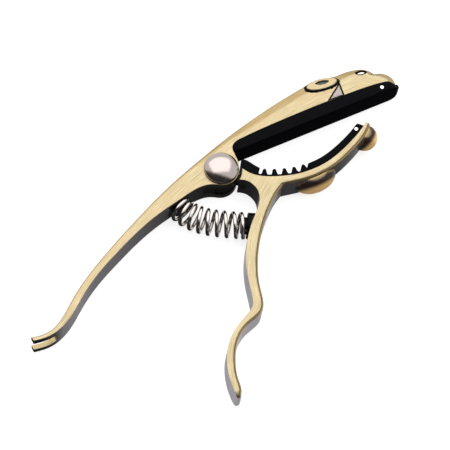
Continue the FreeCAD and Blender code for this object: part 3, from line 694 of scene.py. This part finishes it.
def arm_bevel_shade(points):
    """Painted shade on the bevel, in a deeper brass."""
    reach, _, wide = bevel_at(points)
    boss = ellipse_gap(points[:, :2], *EYE) < 0.8
    return 0.55 * np.clip((1 - reach / wide) / 0.15, 0, 1) * ~boss


arm_along, arm_across = brush_lines(bevel_line)
# Painted shade goes into the recess, wall and bevel fields.
paint(
    string_arm, recess=arm_recess, soot=arm_soot, edge=arm_bevel_shade, along=arm_along, across=arm_across,
)
string_arm.data.materials.clear()
string_arm.data.materials.append(antique_brass("brushed_antique_brass_handle"))
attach(string_arm, "string_lever")
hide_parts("string_arm")

# ---------------------------------------------------------------- cradle arm
# The other casting: a curved jaw with two rounded lobes on its outside, a web
# by the pivot and a serpentine trigger handle with a rolled end.

WEB_RADIUS = 7.6
CRADLE_SEAT = [
    polar(7.6, -20.8), (8.6, -5.2), (10.9, -7.5), (14.5, -9.6), (19.0, -11.4),
    (24.0, -12.8), (29.5, -13.4), (35.0, -13.15), (41.0, -11.8), (47.0, -9.6),
    (52.0, -7.3), (55.9, -5.1),
]
JAW_TIP = [(55.9, -5.1), (57.2, -4.5), (58.2, -5.6)]
JAW_OUTER = [
    (58.2, -5.6), (54.3, -8.9), (48.8, -11.8), (43.4, -14.0), (38.5, -15.5),
    (34.0, -16.2), (29.8, -16.4), (25.5, -16.1), (21.8, -15.5), (17.6, -14.7),
]
HANDLE_OUTER = [
    (17.6, -14.7), (14.3, -16.6), (10.0, -20.0), (5.7, -24.2), (1.7, -28.9),
    (-1.7, -33.7), (-4.6, -38.8), (-6.9, -44.0), (-8.2, -48.5), (-9.3, -52.4),
    (-11.2, -55.3), (-14.2, -56.8), (-18.4, -58.1), (-22.4, -60.5), (-25.8, -64.3),
    (-28.4, -69.1), (-30.0, -74.1), (-30.8, -78.4), (-31.8, -80.4),
]
HANDLE_TIP = [(-31.8, -80.4), (-32.7, -80.9), (-33.5, -80.2)]
HANDLE_INNER = [
    (-33.5, -80.2), (-33.1, -74.6), (-31.8, -69.2), (-29.3, -64.0), (-25.7, -59.8),
    (-21.4, -56.7), (-16.6, -54.3), (-13.7, -52.5), (-12.3, -49.6), (-11.1, -45.0),
    (-9.2, -38.8), (-6.4, -32.8), (-2.9, -27.6), (1.1, -23.0), (4.7, -19.6),
    (7.2, -16.4), (8.2, -13.3), (7.8, -10.6), (6.4, -8.1), polar(7.6, -58.2),
]
RIM_WIDE, RIM_DEEP = 0.6, 0.6
LOBE = ((30.9, -15.2), 8.1, 5.1)
LOBE_TIP = ((55.5, -7.7), 4.85)
LOBE_STEP, LOBE_LIMIT = 0.05, 5.2
END_ROUND, END_AT = 3.4, -80.95
TONGUE_RADIUS, TONGUE_HALF = 6.2, 1.6
LUG_RADIUS = 8.5
SEAT_RADIUS, SEAT_LENGTH = 4.8, 4.4

seat_line = smooth_curve(CRADLE_SEAT)
handle_outer_line = smooth_curve(HANDLE_OUTER)
cradle_loop = joined([
    arc_points((0, 0), WEB_RADIUS, -58.2, -20.8, 0.25), seat_line, smooth_curve(JAW_TIP, 0.2),
    smooth_curve(JAW_OUTER), handle_outer_line, smooth_curve(HANDLE_TIP, 0.2), smooth_curve(HANDLE_INNER),
])
cradle_closed = closed(cradle_loop)
rim_line = np.concatenate([smooth_curve(JAW_OUTER), handle_outer_line[1:]])


def end_drop(points):
    """The trigger's end is rounded off towards both faces."""
    past = np.clip(END_ROUND - (points[:, 1] - END_AT), 0, END_ROUND)
    return END_ROUND - np.sqrt(np.maximum(END_ROUND ** 2 - past ** 2, 0))


def cradle_face(points):
    """Height of either face: bevelled rim, rounded edge, rounded trigger end."""
    reach = nearest(points, rim_line)[0]
    z = HALF - RIM_DEEP * soft_positive(1 - reach / RIM_WIDE, 0.15)
    edge = nearest(points, cradle_closed)[0]
    z = z - rounded_drop(edge, 0.22)
    return z - end_drop(points)


def lobe_push(ring, normal, z):
    """How far the wall stands out, to lie on the two lobes blended into it."""
    out = np.zeros(len(ring))
    (lx, ly), half_length, reach = LOBE
    (tx, ty), ball = LOBE_TIP
    near = nearest(ring, rim_line)[0] < 0.1
    for step in np.arange(LOBE_STEP, LOBE_LIMIT, LOBE_STEP):
        point = ring + normal * step
        long_one = ((point[:, 0] - lx) / half_length) ** 2 + ((point[:, 1] - ly) ** 2 + z ** 2) / reach ** 2
        tip_one = ((point[:, 0] - tx) ** 2 + (point[:, 1] - ty) ** 2 + z ** 2) / ball ** 2
        hit = near & ((long_one < 1) | (tip_one < 1))
        out = np.where(hit, step, out)
    return out


extra = face_points(cradle_loop, 0.7, 0.4, [0.06, 0.14, 0.22, 0.4, 0.56, 0.64, 0.72, 0.8, 0.88])
cradle_arm = solid_from(
    "cradle_arm_casting", cradle_loop, extra, cradle_face, cradle_face, rows=40, push=lobe_push,
)
tongue = prism("tongue", arc_points((0, 0), TONGUE_RADIUS, 0, 357, 0.3), -TONGUE_HALF, TONGUE_HALF)
neck = prism("neck", np.array([polar(4, -56), polar(9.6, -50), polar(9.6, -27), polar(4, -26)]), -1.59, 1.59)
lug_loop = joined([arc_points((0, 0), LUG_RADIUS, 178, 191.9), arc_points((0, 0), 4.0, 191.9, 178)])
lug = prism("lug", lug_loop, -1.58, 1.58)
end_point, end_way = spring_frame(1.0)
seat_profile = [
    (0, SEAT_RADIUS - 0.25), (0.25, SEAT_RADIUS), (SEAT_LENGTH - 0.1, SEAT_RADIUS),
    (SEAT_LENGTH, SEAT_RADIUS - 0.1),
]
lower_seat = turned("lower_seat", seat_profile, (*end_point, 0), (*end_way, 0))
lower_post = turned("lower_post", [(-2.2, 2.7), (-1.9, 3.1), (1.0, 3.1)], (*end_point, 0), (*end_way, 0))
cradle_arm = merged("cradle_arm_casting", [cradle_arm, tongue, neck, lug, lower_seat, lower_post])


def cradle_recess(points):
    """Dark in a fine line inside the rim's bevel; painted shade on the tongue between the castings and on
    the spring's seat inside the coil.
    """
    reach = nearest(points[:, :2], rim_line)[0]
    line = np.clip(1.2 - np.abs(reach - 0.72) / 0.2, 0, 1) * (np.abs(points[:, 2]) > HALF - 0.5)
    inner = (np.hypot(points[:, 0], points[:, 1]) < 9.9) & (np.abs(points[:, 2]) < 1.7)
    gap = np.hypot(points[:, 0] - end_point[0], points[:, 1] - end_point[1])
    seat = (gap < 7.0) & (np.abs(points[:, 2]) < 4.85) & (nearest(points[:, :2], cradle_closed)[0] > 0.05)
    return line + 0.97 * inner + seat


def cradle_soot(points):
    """Wall colour, patina with painted shade: black by the pivot and behind the jaw, pale grey down the
    trigger.
    """
    soot = np.interp(-points[:, 1], [4, 14, 24, 34, 80], [1.0, 0.93, 0.6, 0.1, 0.0])
    return np.where(points[:, 0] > 18, 0.9, soot)


def cradle_bevel_shade(points):
    """Painted shade on the rim's bevel, in a deeper brass."""
    reach = nearest(points[:, :2], rim_line)[0]
    return 0.85 * np.clip((0.66 - reach) / 0.12, 0, 1)


def stands_out(points):
    """How far a point stands out of the casting's wall."""
    return nearest(points[:, :2], cradle_closed)[0] * ~inside(points[:, :2], cradle_loop)


def cradle_lobe(points):
    """Where the lobes' painted shadow and highlight cover the jaw, full where a point stands out half a
    millimetre.
    """
    return np.where(points[:, 0] > 18, stands_out(points) / 0.5, 0)


def cradle_polish(points):
    """Painted highlight where a lobe stands out most, towards its lower side; painted shadow on the rest of
    the lobe, up by the rim.
    """
    share = np.clip((stands_out(points) - 0.45 * points[:, 2] - 0.8) / 2.0, 0, 1)
    return share * share * (3 - 2 * share)


cradle_along, cradle_across = brush_lines(rim_line)
# Painted shade goes into the recess, wall and bevel fields, a painted shadow and highlight into the lobe
# fields.
paint(
    cradle_arm, recess=cradle_recess, soot=cradle_soot, edge=cradle_bevel_shade, lobe=cradle_lobe,
    polish=cradle_polish, along=cradle_along, across=cradle_across,
)
cradle_arm.data.materials.clear()
cradle_arm.data.materials.append(antique_brass("brushed_antique_brass_jaw"))
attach(cradle_arm, "cradle_lever")
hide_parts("cradle_arm")

# ---------------------------------------------------------------- string pad
# The bar that presses on the strings: black silicone, moulded with softly rounded
# edges and a nose that stands out past the head, and glued in the casting's seat.


SILICONE_BLACK = "#08080B"
MOULD_GRAIN, MOULD_DEPTH = 0.4, 0.03


def black_silicone(name, roughness):
    """Moulded silicone: near black, with a soft sheen broken up by the mould's grain."""
    material, tree = new_material(name)
    place = add(tree, "ShaderNodeTexCoord").outputs["Object"]
    grain = add(
        tree, "ShaderNodeTexNoise", {"Scale": 1000 / MOULD_GRAIN, "Detail": 2.0}, {"Vector": place},
    ).outputs["Fac"]
    relief = add(
        tree, "ShaderNodeBump", {"Strength": 0.15, "Distance": MOULD_DEPTH / 1000}, {"Height": grain},
    ).outputs[0]
    surface = add(
        tree, "ShaderNodeBsdfPrincipled",
        {
            "Base Color": linear(SILICONE_BLACK), "Roughness": roughness, "IOR": 1.41,
            "Specular IOR Level": 0.03,
        },
        {"Normal": relief},
    )
    add(tree, "ShaderNodeOutputMaterial", links={0: surface.outputs[0]})
    return material


PAD_CONTACT = 4.4
PAD_HALF = 5.1
pad_loop = joined([
    smooth_curve(PAD_SEAT), smooth_curve(PAD_CORNER[:3], 0.25),
    np.array([(7.6, 6.0), (7.6, 5.4)]), arc_points((8.6, 5.4), 1.0, 180, 270, 0.2),
    np.linspace((8.6, PAD_CONTACT), (74.6, PAD_CONTACT), 170),
    smooth_curve([(74.6, PAD_CONTACT), (76.1, 4.55), (77.0, 5.3)], 0.15),
    smooth_curve([(77.0, 5.3), (76.4, 6.0), (75.2, 5.6)], 0.15),
])[::-1]
pad_closed = closed(pad_loop)


def pad_face(points):
    """Height of either face: rounded edges, and a nose that narrows to a blunt end."""
    edge = nearest(points, pad_closed)[0]
    z = PAD_HALF - rounded_drop(edge, 0.6)
    left = np.clip((77.05 - points[:, 0]) / 3.9, 0, 1)
    return np.minimum(z, 0.25 + (PAD_HALF - 0.25) * left ** 0.42)


extra = face_points(pad_loop, 0.6, 0.35, [0.08, 0.2, 0.35, 0.6])
string_pad = solid_from("string_pad_silicone", pad_loop, extra, pad_face, pad_face, rows=10)
string_pad.data.materials.append(black_silicone("black_silicone", 0.42))
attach(string_pad, "string_lever")
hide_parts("string_pad")

# ---------------------------------------------------------------- cradle pad
# Silicone lining of the jaw: a block by the hub, five rounded teeth, a smooth
# strip towards the tip, all on a thin base glued in the jaw's curve.

CRADLE_PAD_HALF = 5.0
BASE_HEIGHT = 0.9
BLOCK_END = 6.5
TEETH_START, TOOTH_PITCH, TOOTH_COUNT, TOOTH_HEIGHT = 8.7, 3.85, 5, 2.3
STRIP_START = 26.0

seat_fine = smooth_curve(CRADLE_SEAT, 0.05)
seat_run = np.concatenate([[0], np.cumsum(np.linalg.norm(np.diff(seat_fine, axis=0), axis=1))])
STRIP_END = seat_run[-1] - 0.4


def above_seat(run, height):
    """Point at a run along the jaw's seat and a height off it."""
    behind, middle, ahead = (
        np.array([np.interp(run + step, seat_run, seat_fine[:, i]) for i in (0, 1)])
        for step in (-0.05, 0, 0.05)
    )
    way = (ahead - behind) / np.linalg.norm(ahead - behind)
    return tuple(middle + height * np.array([-way[1], way[0]]))


def line_points(start, end, step=0.4):
    count = max(2, int(math.dist(start, end) / step) + 1)
    return np.linspace(start, end, count)


BLOCK = [(8.0, -0.2), (8.5, 0.55), (9.4, 0.3), (10.5, -0.9), (11.5, -2.6), (12.5, -4.2), (13.15, -5.05)]
lining_start = above_seat(0.0, 0.05)
parts = [line_points(lining_start, BLOCK[0], 0.3), smooth_curve(BLOCK, 0.25)]
shoulder = [BLOCK[-1], above_seat(6.4, 2.4), above_seat(BLOCK_END, BASE_HEIGHT + 0.4)]
corner = above_seat(BLOCK_END + 0.1, BASE_HEIGHT)
parts += [smooth_curve(shoulder, 0.15), line_points(shoulder[-1], corner, 0.2)]
tooth_side = ((-1.25, 0), (-0.85, 0.5), (-0.45, 0.93), (0, 1.0), (0.45, 0.93), (0.85, 0.5), (1.25, 0))
for tooth in range(TOOTH_COUNT):
    middle = TEETH_START + tooth * TOOTH_PITCH
    outline = [
        above_seat(middle + run, BASE_HEIGHT + share * TOOTH_HEIGHT) for run, share in tooth_side
    ]
    parts += [line_points(corner, outline[0], 0.3), smooth_curve(outline, 0.15)]
    corner = outline[-1]
strip_foot = above_seat(STRIP_START - 0.1, BASE_HEIGHT)
shoulder = [above_seat(STRIP_START + run, height) for run, height in ((0, 2.2), (0.2, 2.7), (0.8, 2.9))]
parts += [line_points(corner, strip_foot, 0.3), line_points(strip_foot, shoulder[0], 0.3)]
parts.append(smooth_curve(shoulder, 0.15))
strip_run = STRIP_END - STRIP_START - 1.6
strip = [above_seat(STRIP_START + 0.8 + strip_run * i / 6, 2.9 - 0.05 * i) for i in range(7)]
strip_end = above_seat(STRIP_END, 1.6)
parts += [smooth_curve(strip), smooth_curve([strip[-1], above_seat(STRIP_END - 0.15, 2.2), strip_end], 0.15)]
seat_back = [above_seat(seat_run[-1] - 0.05, 0.05)]
seat_back += [above_seat(run, 0.05) for run in np.arange(seat_run[-1] - 0.4, 0.2, -0.4)]
parts += [line_points(strip_end, seat_back[0], 0.3), np.array(seat_back)]
parts.append(line_points(seat_back[-1], lining_start))
lining_loop = joined(parts)
lining_closed = closed(lining_loop)


def lining_face(points):
    return CRADLE_PAD_HALF - rounded_drop(nearest(points, lining_closed)[0], 0.3)


extra = face_points(lining_loop, 0.5, 0.35, [0.06, 0.16, 0.3])
cradle_pad = solid_from("cradle_pad_silicone", lining_loop, extra, lining_face, lining_face, rows=8)
cradle_pad.data.materials.append(black_silicone("black_silicone_lining", 0.48))
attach(cradle_pad, "cradle_lever")
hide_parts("cradle_pad")

# ------------------------------------------------------------------ pad pins
# Short bright steel pins with domed heads, one pressed through the free end of
# each pad into the casting behind it.


# Tumbled steel has a grain of a few hundredths, drawn here as coarse as it needs
# to show.
STEEL_GRAIN, STEEL_DEPTH = 2 / 3, 0.01


def plain_metal(name, colour, roughness):
    """Turned or drawn metal, tumbled: even colour, faintly uneven shine."""
    material, tree = new_material(name)
    place = add(tree, "ShaderNodeTexCoord").outputs["Object"]
    grain = add(
        tree, "ShaderNodeTexNoise", {"Scale": 1000 / STEEL_GRAIN, "Detail": 3.0}, {"Vector": place},
    ).outputs["Fac"]
    rough = add(
        tree, "ShaderNodeMapRange",
        {
            "interpolation_type": "SMOOTHSTEP", "From Min": 0.3, "From Max": 0.7,
            "To Min": roughness - 0.05, "To Max": roughness + 0.05,
        },
        {"Value": grain},
    ).outputs["Result"]
    relief = add(
        tree, "ShaderNodeBump", {"Strength": 0.2, "Distance": STEEL_DEPTH / 1000}, {"Height": grain},
    ).outputs[0]
    surface = add(
        tree, "ShaderNodeBsdfPrincipled", {"Metallic": 1.0, "Base Color": linear(colour)},
        {"Roughness": rough, "Normal": relief},
    )
    add(tree, "ShaderNodeOutputMaterial", links={0: surface.outputs[0]})
    return material


PIN_RADIUS = 0.95
pin_steel = plain_metal("bright_steel_pins", "#E8E8EA", 0.18)
lower_pin = above_seat(STRIP_END - 2.6, 1.5)
for name, (x, y), face, body in (
    ("string_pad_pin", (69.6, 6.3), PAD_HALF, "string_lever"),
    ("cradle_pad_pin", lower_pin, CRADLE_PAD_HALF, "cradle_lever"),
):
    profile = [(-3.0, PIN_RADIUS)]
    for share in np.linspace(0, 1, 6):
        drop = math.radians(80 * share)
        profile.append((-0.2 + 0.28 * math.sin(drop), max(0.03, PIN_RADIUS * math.cos(drop))))
    pin = turned(name + "_domed", profile, (x, y, face), (0, 0, 1), 32)
    pin.data.materials.append(pin_steel)
    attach(pin, body)
    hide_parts(name)

# ----------------------------------------------------------------- pivot cap
# Button pressed over the end of the pivot pin: a shallow steel dome on a short
# straight side, tumbled to a satin shine.
CAP_FLOOR = 4.9
CAP_RADIUS = 6.1
CAP_SIDE = 1.6
CAP_HEIGHT = 4.4
crown = CAP_HEIGHT - CAP_SIDE
sphere = (CAP_RADIUS ** 2 + crown ** 2) / (2 * crown)
profile = [(0.0, CAP_RADIUS - 0.2), (0.15, CAP_RADIUS), (CAP_SIDE - 0.1, CAP_RADIUS)]
for out in CAP_RADIUS * np.cos(np.radians(np.linspace(10, 89.8, 40))):
    profile.append((CAP_HEIGHT - sphere + math.sqrt(sphere ** 2 - out ** 2), out))
cap = turned("pivot_cap_dome", profile, (0, 0, CAP_FLOOR), (0, 0, 1), 96)
cap.data.materials.append(plain_metal("satin_steel_cap", "#B8ADA8", 0.2))
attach(cap, "string_lever")
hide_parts("pivot_cap")

# ---------------------------------------------------------------- head inlays
# Let into both faces of the head: a dark enamel pupil, a pale enamel tooth, and a
# bright steel bead for the nostril, each fixed in its own pocket.


ENAMEL_SHADE = "#2A2420"
CLOUD = 1.43


def enamel(name, colour, roughness):
    """Filled and fired enamel: faint clouds in the colour under a glossy coat."""
    material, tree = new_material(name)
    place = add(tree, "ShaderNodeTexCoord").outputs["Object"]
    cloud = add(
        tree, "ShaderNodeTexNoise", {"Scale": 1000 / CLOUD, "Detail": 2.0}, {"Vector": place},
    ).outputs["Fac"]
    cloud = add(
        tree, "ShaderNodeMapRange",
        {"interpolation_type": "SMOOTHSTEP", "From Min": 0.3, "From Max": 0.7, "To Max": 0.25},
        {"Value": cloud},
    ).outputs["Result"]
    tint = add(
        tree, "ShaderNodeMix",
        {"data_type": "RGBA", 6: linear(colour), 7: linear(ENAMEL_SHADE)}, {0: cloud},
    ).outputs[2]
    surface = add(
        tree, "ShaderNodeBsdfPrincipled",
        {"Roughness": roughness, "IOR": 1.5, "Coat Weight": 0.4}, {"Base Color": tint},
    )
    add(tree, "ShaderNodeOutputMaterial", links={0: surface.outputs[0]})
    return material


def inlay(name, loop, low, high, crown, material, node):
    """A small crowned tablet on a loop."""
    rim = closed(loop)
    reach = nearest(loop.mean(0)[None], rim)[0][0]

    def face(points):
        edge = nearest(points, rim)[0]
        return high - crown * (1 - np.clip(edge / reach, 0, 1)) ** 2

    spots = face_points(loop, 0.2, 0.12, [0.08, 0.18, 0.3])
    piece = solid_from(name, loop, spots, face, lambda p: np.full(len(p), -low), rows=2)
    piece.data.materials.append(material)
    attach(piece, "string_lever")
    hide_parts(node)
    return piece


pale = enamel("pale_enamel", "#A89A98", 0.35)
dark = enamel("dark_enamel", "#26241E", 0.25)
bead_steel = plain_metal("bright_bead", "#E9E6E0", 0.12)
tooth_fill = joined([line_points(a, b, 0.2) for a, b in (
    ((49.9, 9.6), (55.1, 13.2)), ((55.1, 13.2), (54.5, 9.5)), ((54.5, 9.5), (49.9, 9.6)),
)])
pupil_loop = ellipse_points(PUPIL[0], PUPIL[1] - 0.15, PUPIL[2] - 0.1, PUPIL[3])[::-1]
bead_loop = ellipse_points((65.5, 15.0), 1.6, 0.7, -12)[::-1]
for side, flip in (("front", 1), ("back", -1)):
    pieces = [
        inlay(
            "tooth_enamel_" + side, tooth_fill, 4.75, 5.22, 0.12, pale, "tooth_inlay_" + side,
        ),
        inlay(
            "pupil_enamel_" + side, pupil_loop, 4.7, 5.25, 0.1, dark, "eye_pupil_" + side,
        ),
        inlay(
            "nostril_bead_dome_" + side, bead_loop, 3.7, 4.5, 0.5, bead_steel, "nostril_bead_" + side,
        ),
    ]
    if flip < 0:
        for piece in pieces:
            for vertex in piece.data.vertices:
                vertex.co.z = -vertex.co.z
            piece.data.flip_normals()

# -------------------------------------------------------------------- spring
# Compression coil of nickel-plated steel wire with closed ends, held on a post at
# each handle.  It bends between them, so its middle line is a curve.
WIRE_RADIUS = 0.7
COIL_RADIUS = 4.3
TURNS = 8.5
PHASE_DEG = 45.0
END_GAP = 0.12
CLOSED_PITCH = 3.2 * WIRE_RADIUS
STEPS = 40
SIDES = 14
spots = np.array([spring_frame(share)[0] for share in np.linspace(0, 1, 201)])
spring_length = np.linalg.norm(np.diff(spots, axis=0), axis=1).sum()


def coil_run(turn):
    """Run along the middle line after a number of turns, closer at both ends."""
    free = spring_length - 2 * (WIRE_RADIUS + END_GAP) - 2 * CLOSED_PITCH
    if turn < 1.0:
        return WIRE_RADIUS + END_GAP + CLOSED_PITCH * turn
    if turn > TURNS - 1.0:
        return spring_length - WIRE_RADIUS - END_GAP - CLOSED_PITCH * (TURNS - turn)
    return WIRE_RADIUS + END_GAP + CLOSED_PITCH + free * (turn - 1.0) / (TURNS - 2.0)


path = []
for i in range(int(TURNS * STEPS) + 1):
    turn = i / STEPS
    around = 2 * math.pi * turn + math.radians(PHASE_DEG)
    (mx, my), (tx, ty) = spring_frame(coil_run(turn) / spring_length)
    side = COIL_RADIUS * math.cos(around)
    path.append((mx - ty * side, my + tx * side, COIL_RADIUS * math.sin(around)))
path = np.array(path)
way = np.gradient(path, axis=0)
way /= np.linalg.norm(way, axis=1)[:, None]
verts, faces = [], []
for i, (point, ahead) in enumerate(zip(path, way)):
    (mx, my), _ = spring_frame(coil_run(i / STEPS) / spring_length)
    out = point - np.array([mx, my, 0])
    out -= ahead * out.dot(ahead)
    out /= np.linalg.norm(out)
    across = np.cross(ahead, out)
    for k in range(SIDES):
        angle = 2 * math.pi * k / SIDES
        verts.append(point + WIRE_RADIUS * (math.cos(angle) * out + math.sin(angle) * across))
for i in range(len(path) - 1):
    for k in range(SIDES):
        n = (k + 1) % SIDES
        faces.append((i * SIDES + k, i * SIDES + n, (i + 1) * SIDES + n, (i + 1) * SIDES + k))
faces.append(tuple(range(SIDES - 1, -1, -1)))
faces.append(tuple((len(path) - 1) * SIDES + k for k in range(SIDES)))
spring = make_piece("coil_spring", verts, faces)
spring.data.materials.append(plain_metal("nickel_spring_wire", "#BFB8B2", 0.16))
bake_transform(spring)
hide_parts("spring")

# ----------------------------------------------- pin, bush and washers, inside
# Hardened steel pin in a sintered bronze bush, with a thin nylon washer on each
# side of the tongue.  They keep their turned shapes from the CAD.
washer_nylon = enamel("natural_nylon_washers", "#D9D4C6", 0.5)
for node, material in (
    ("pivot_pin", plain_metal("hardened_pin_steel", "#A6A6AA", 0.3)),
    ("pivot_bush", plain_metal("sintered_bronze_bush", "#9A7748", 0.45)),
    ("thrust_washer_front", washer_nylon), ("thrust_washer_back", washer_nylon),
):
    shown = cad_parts[node]
    shown.data.materials.clear()
    shown.data.materials.append(material)

# --------------------------------------------------------------------- stage
# Pale paper table that glows a little, so that shadows stay faint; one large soft
# box overhead and behind, and a bright sky behind that is dark on the near side.
FLOOR_REACH, FLOOR_CLEAR = 1.5, 0.00005
corners = ((-1, -1), (1, -1), (1, 1), (-1, 1))
floor_z = -HALF / 1000 - FLOOR_CLEAR
floor_mesh = bpy.data.meshes.new("floor")
floor_mesh.from_pydata(
    [(x * FLOOR_REACH, y * FLOOR_REACH, floor_z) for x, y in corners], [], [(0, 1, 2, 3)],
)
floor = in_scene("floor", floor_mesh)
material, tree = new_material("pale_paper_table")
surface = add(tree, "ShaderNodeBsdfPrincipled", {
    "Base Color": linear("#9A9A9A"), "Roughness": 0.9,
    "Emission Color": linear("#FFFFFF"), "Emission Strength": 0.8,
})
add(tree, "ShaderNodeOutputMaterial", links={0: surface.outputs[0]})
floor.data.materials.append(material)
floor.visible_glossy = False

TARGET = Vector((-0.05065, -0.02499, 0.0053))
CAMERA_AT = Vector((-0.22145, -0.26533, 0.60983))
ROLL_DEG = 10.1


def aimed_from(place):
    """Where a camera or light stands, turned to face the capo's middle."""
    turn = (TARGET - place).to_track_quat("-Z", "Y").to_matrix().to_4x4()
    return Matrix.Translation(place) @ turn


camera_data = bpy.data.cameras.new("camera")
camera_data.lens = 152
camera_data.sensor_width = 36
camera_data.clip_start = 0.01
camera = in_scene("camera", camera_data)
camera.matrix_world = aimed_from(CAMERA_AT) @ Matrix.Rotation(math.radians(ROLL_DEG), 4, "Z")
bpy.context.scene.camera = camera

BOX_AT = Vector((0.10, 0.45, 0.95))
box_light = bpy.data.lights.new("overhead", "AREA")
box_light.shape = "RECTANGLE"
box_light.size, box_light.size_y = 2.4, 2.0
box_light.energy = 18
in_scene("overhead", box_light).matrix_world = aimed_from(BOX_AT)

world = bpy.data.worlds.new("studio")
world.use_nodes = True
tree = world.node_tree
# Bright overhead and behind; dark low down on the near side.
sky = add(
    tree, "ShaderNodeVectorMath", {"operation": "DOT_PRODUCT", 1: (1.40, 1.46, 1.0)},
    {0: add(tree, "ShaderNodeTexCoord").outputs["Generated"]},
).outputs["Value"]
strength = add(
    tree, "ShaderNodeMapRange",
    {"interpolation_type": "SMOOTHSTEP", "From Min": -0.35, "From Max": 0.05, "To Min": 0.04},
    {"Value": sky},
).outputs["Result"]
tree.links.new(strength, tree.nodes["Background"].inputs[1])
tree.nodes["Background"].inputs[0].default_value = (1, 1, 1, 1)
bpy.context.scene.world = world
bpy.context.scene.view_settings.view_transform = "Standard"
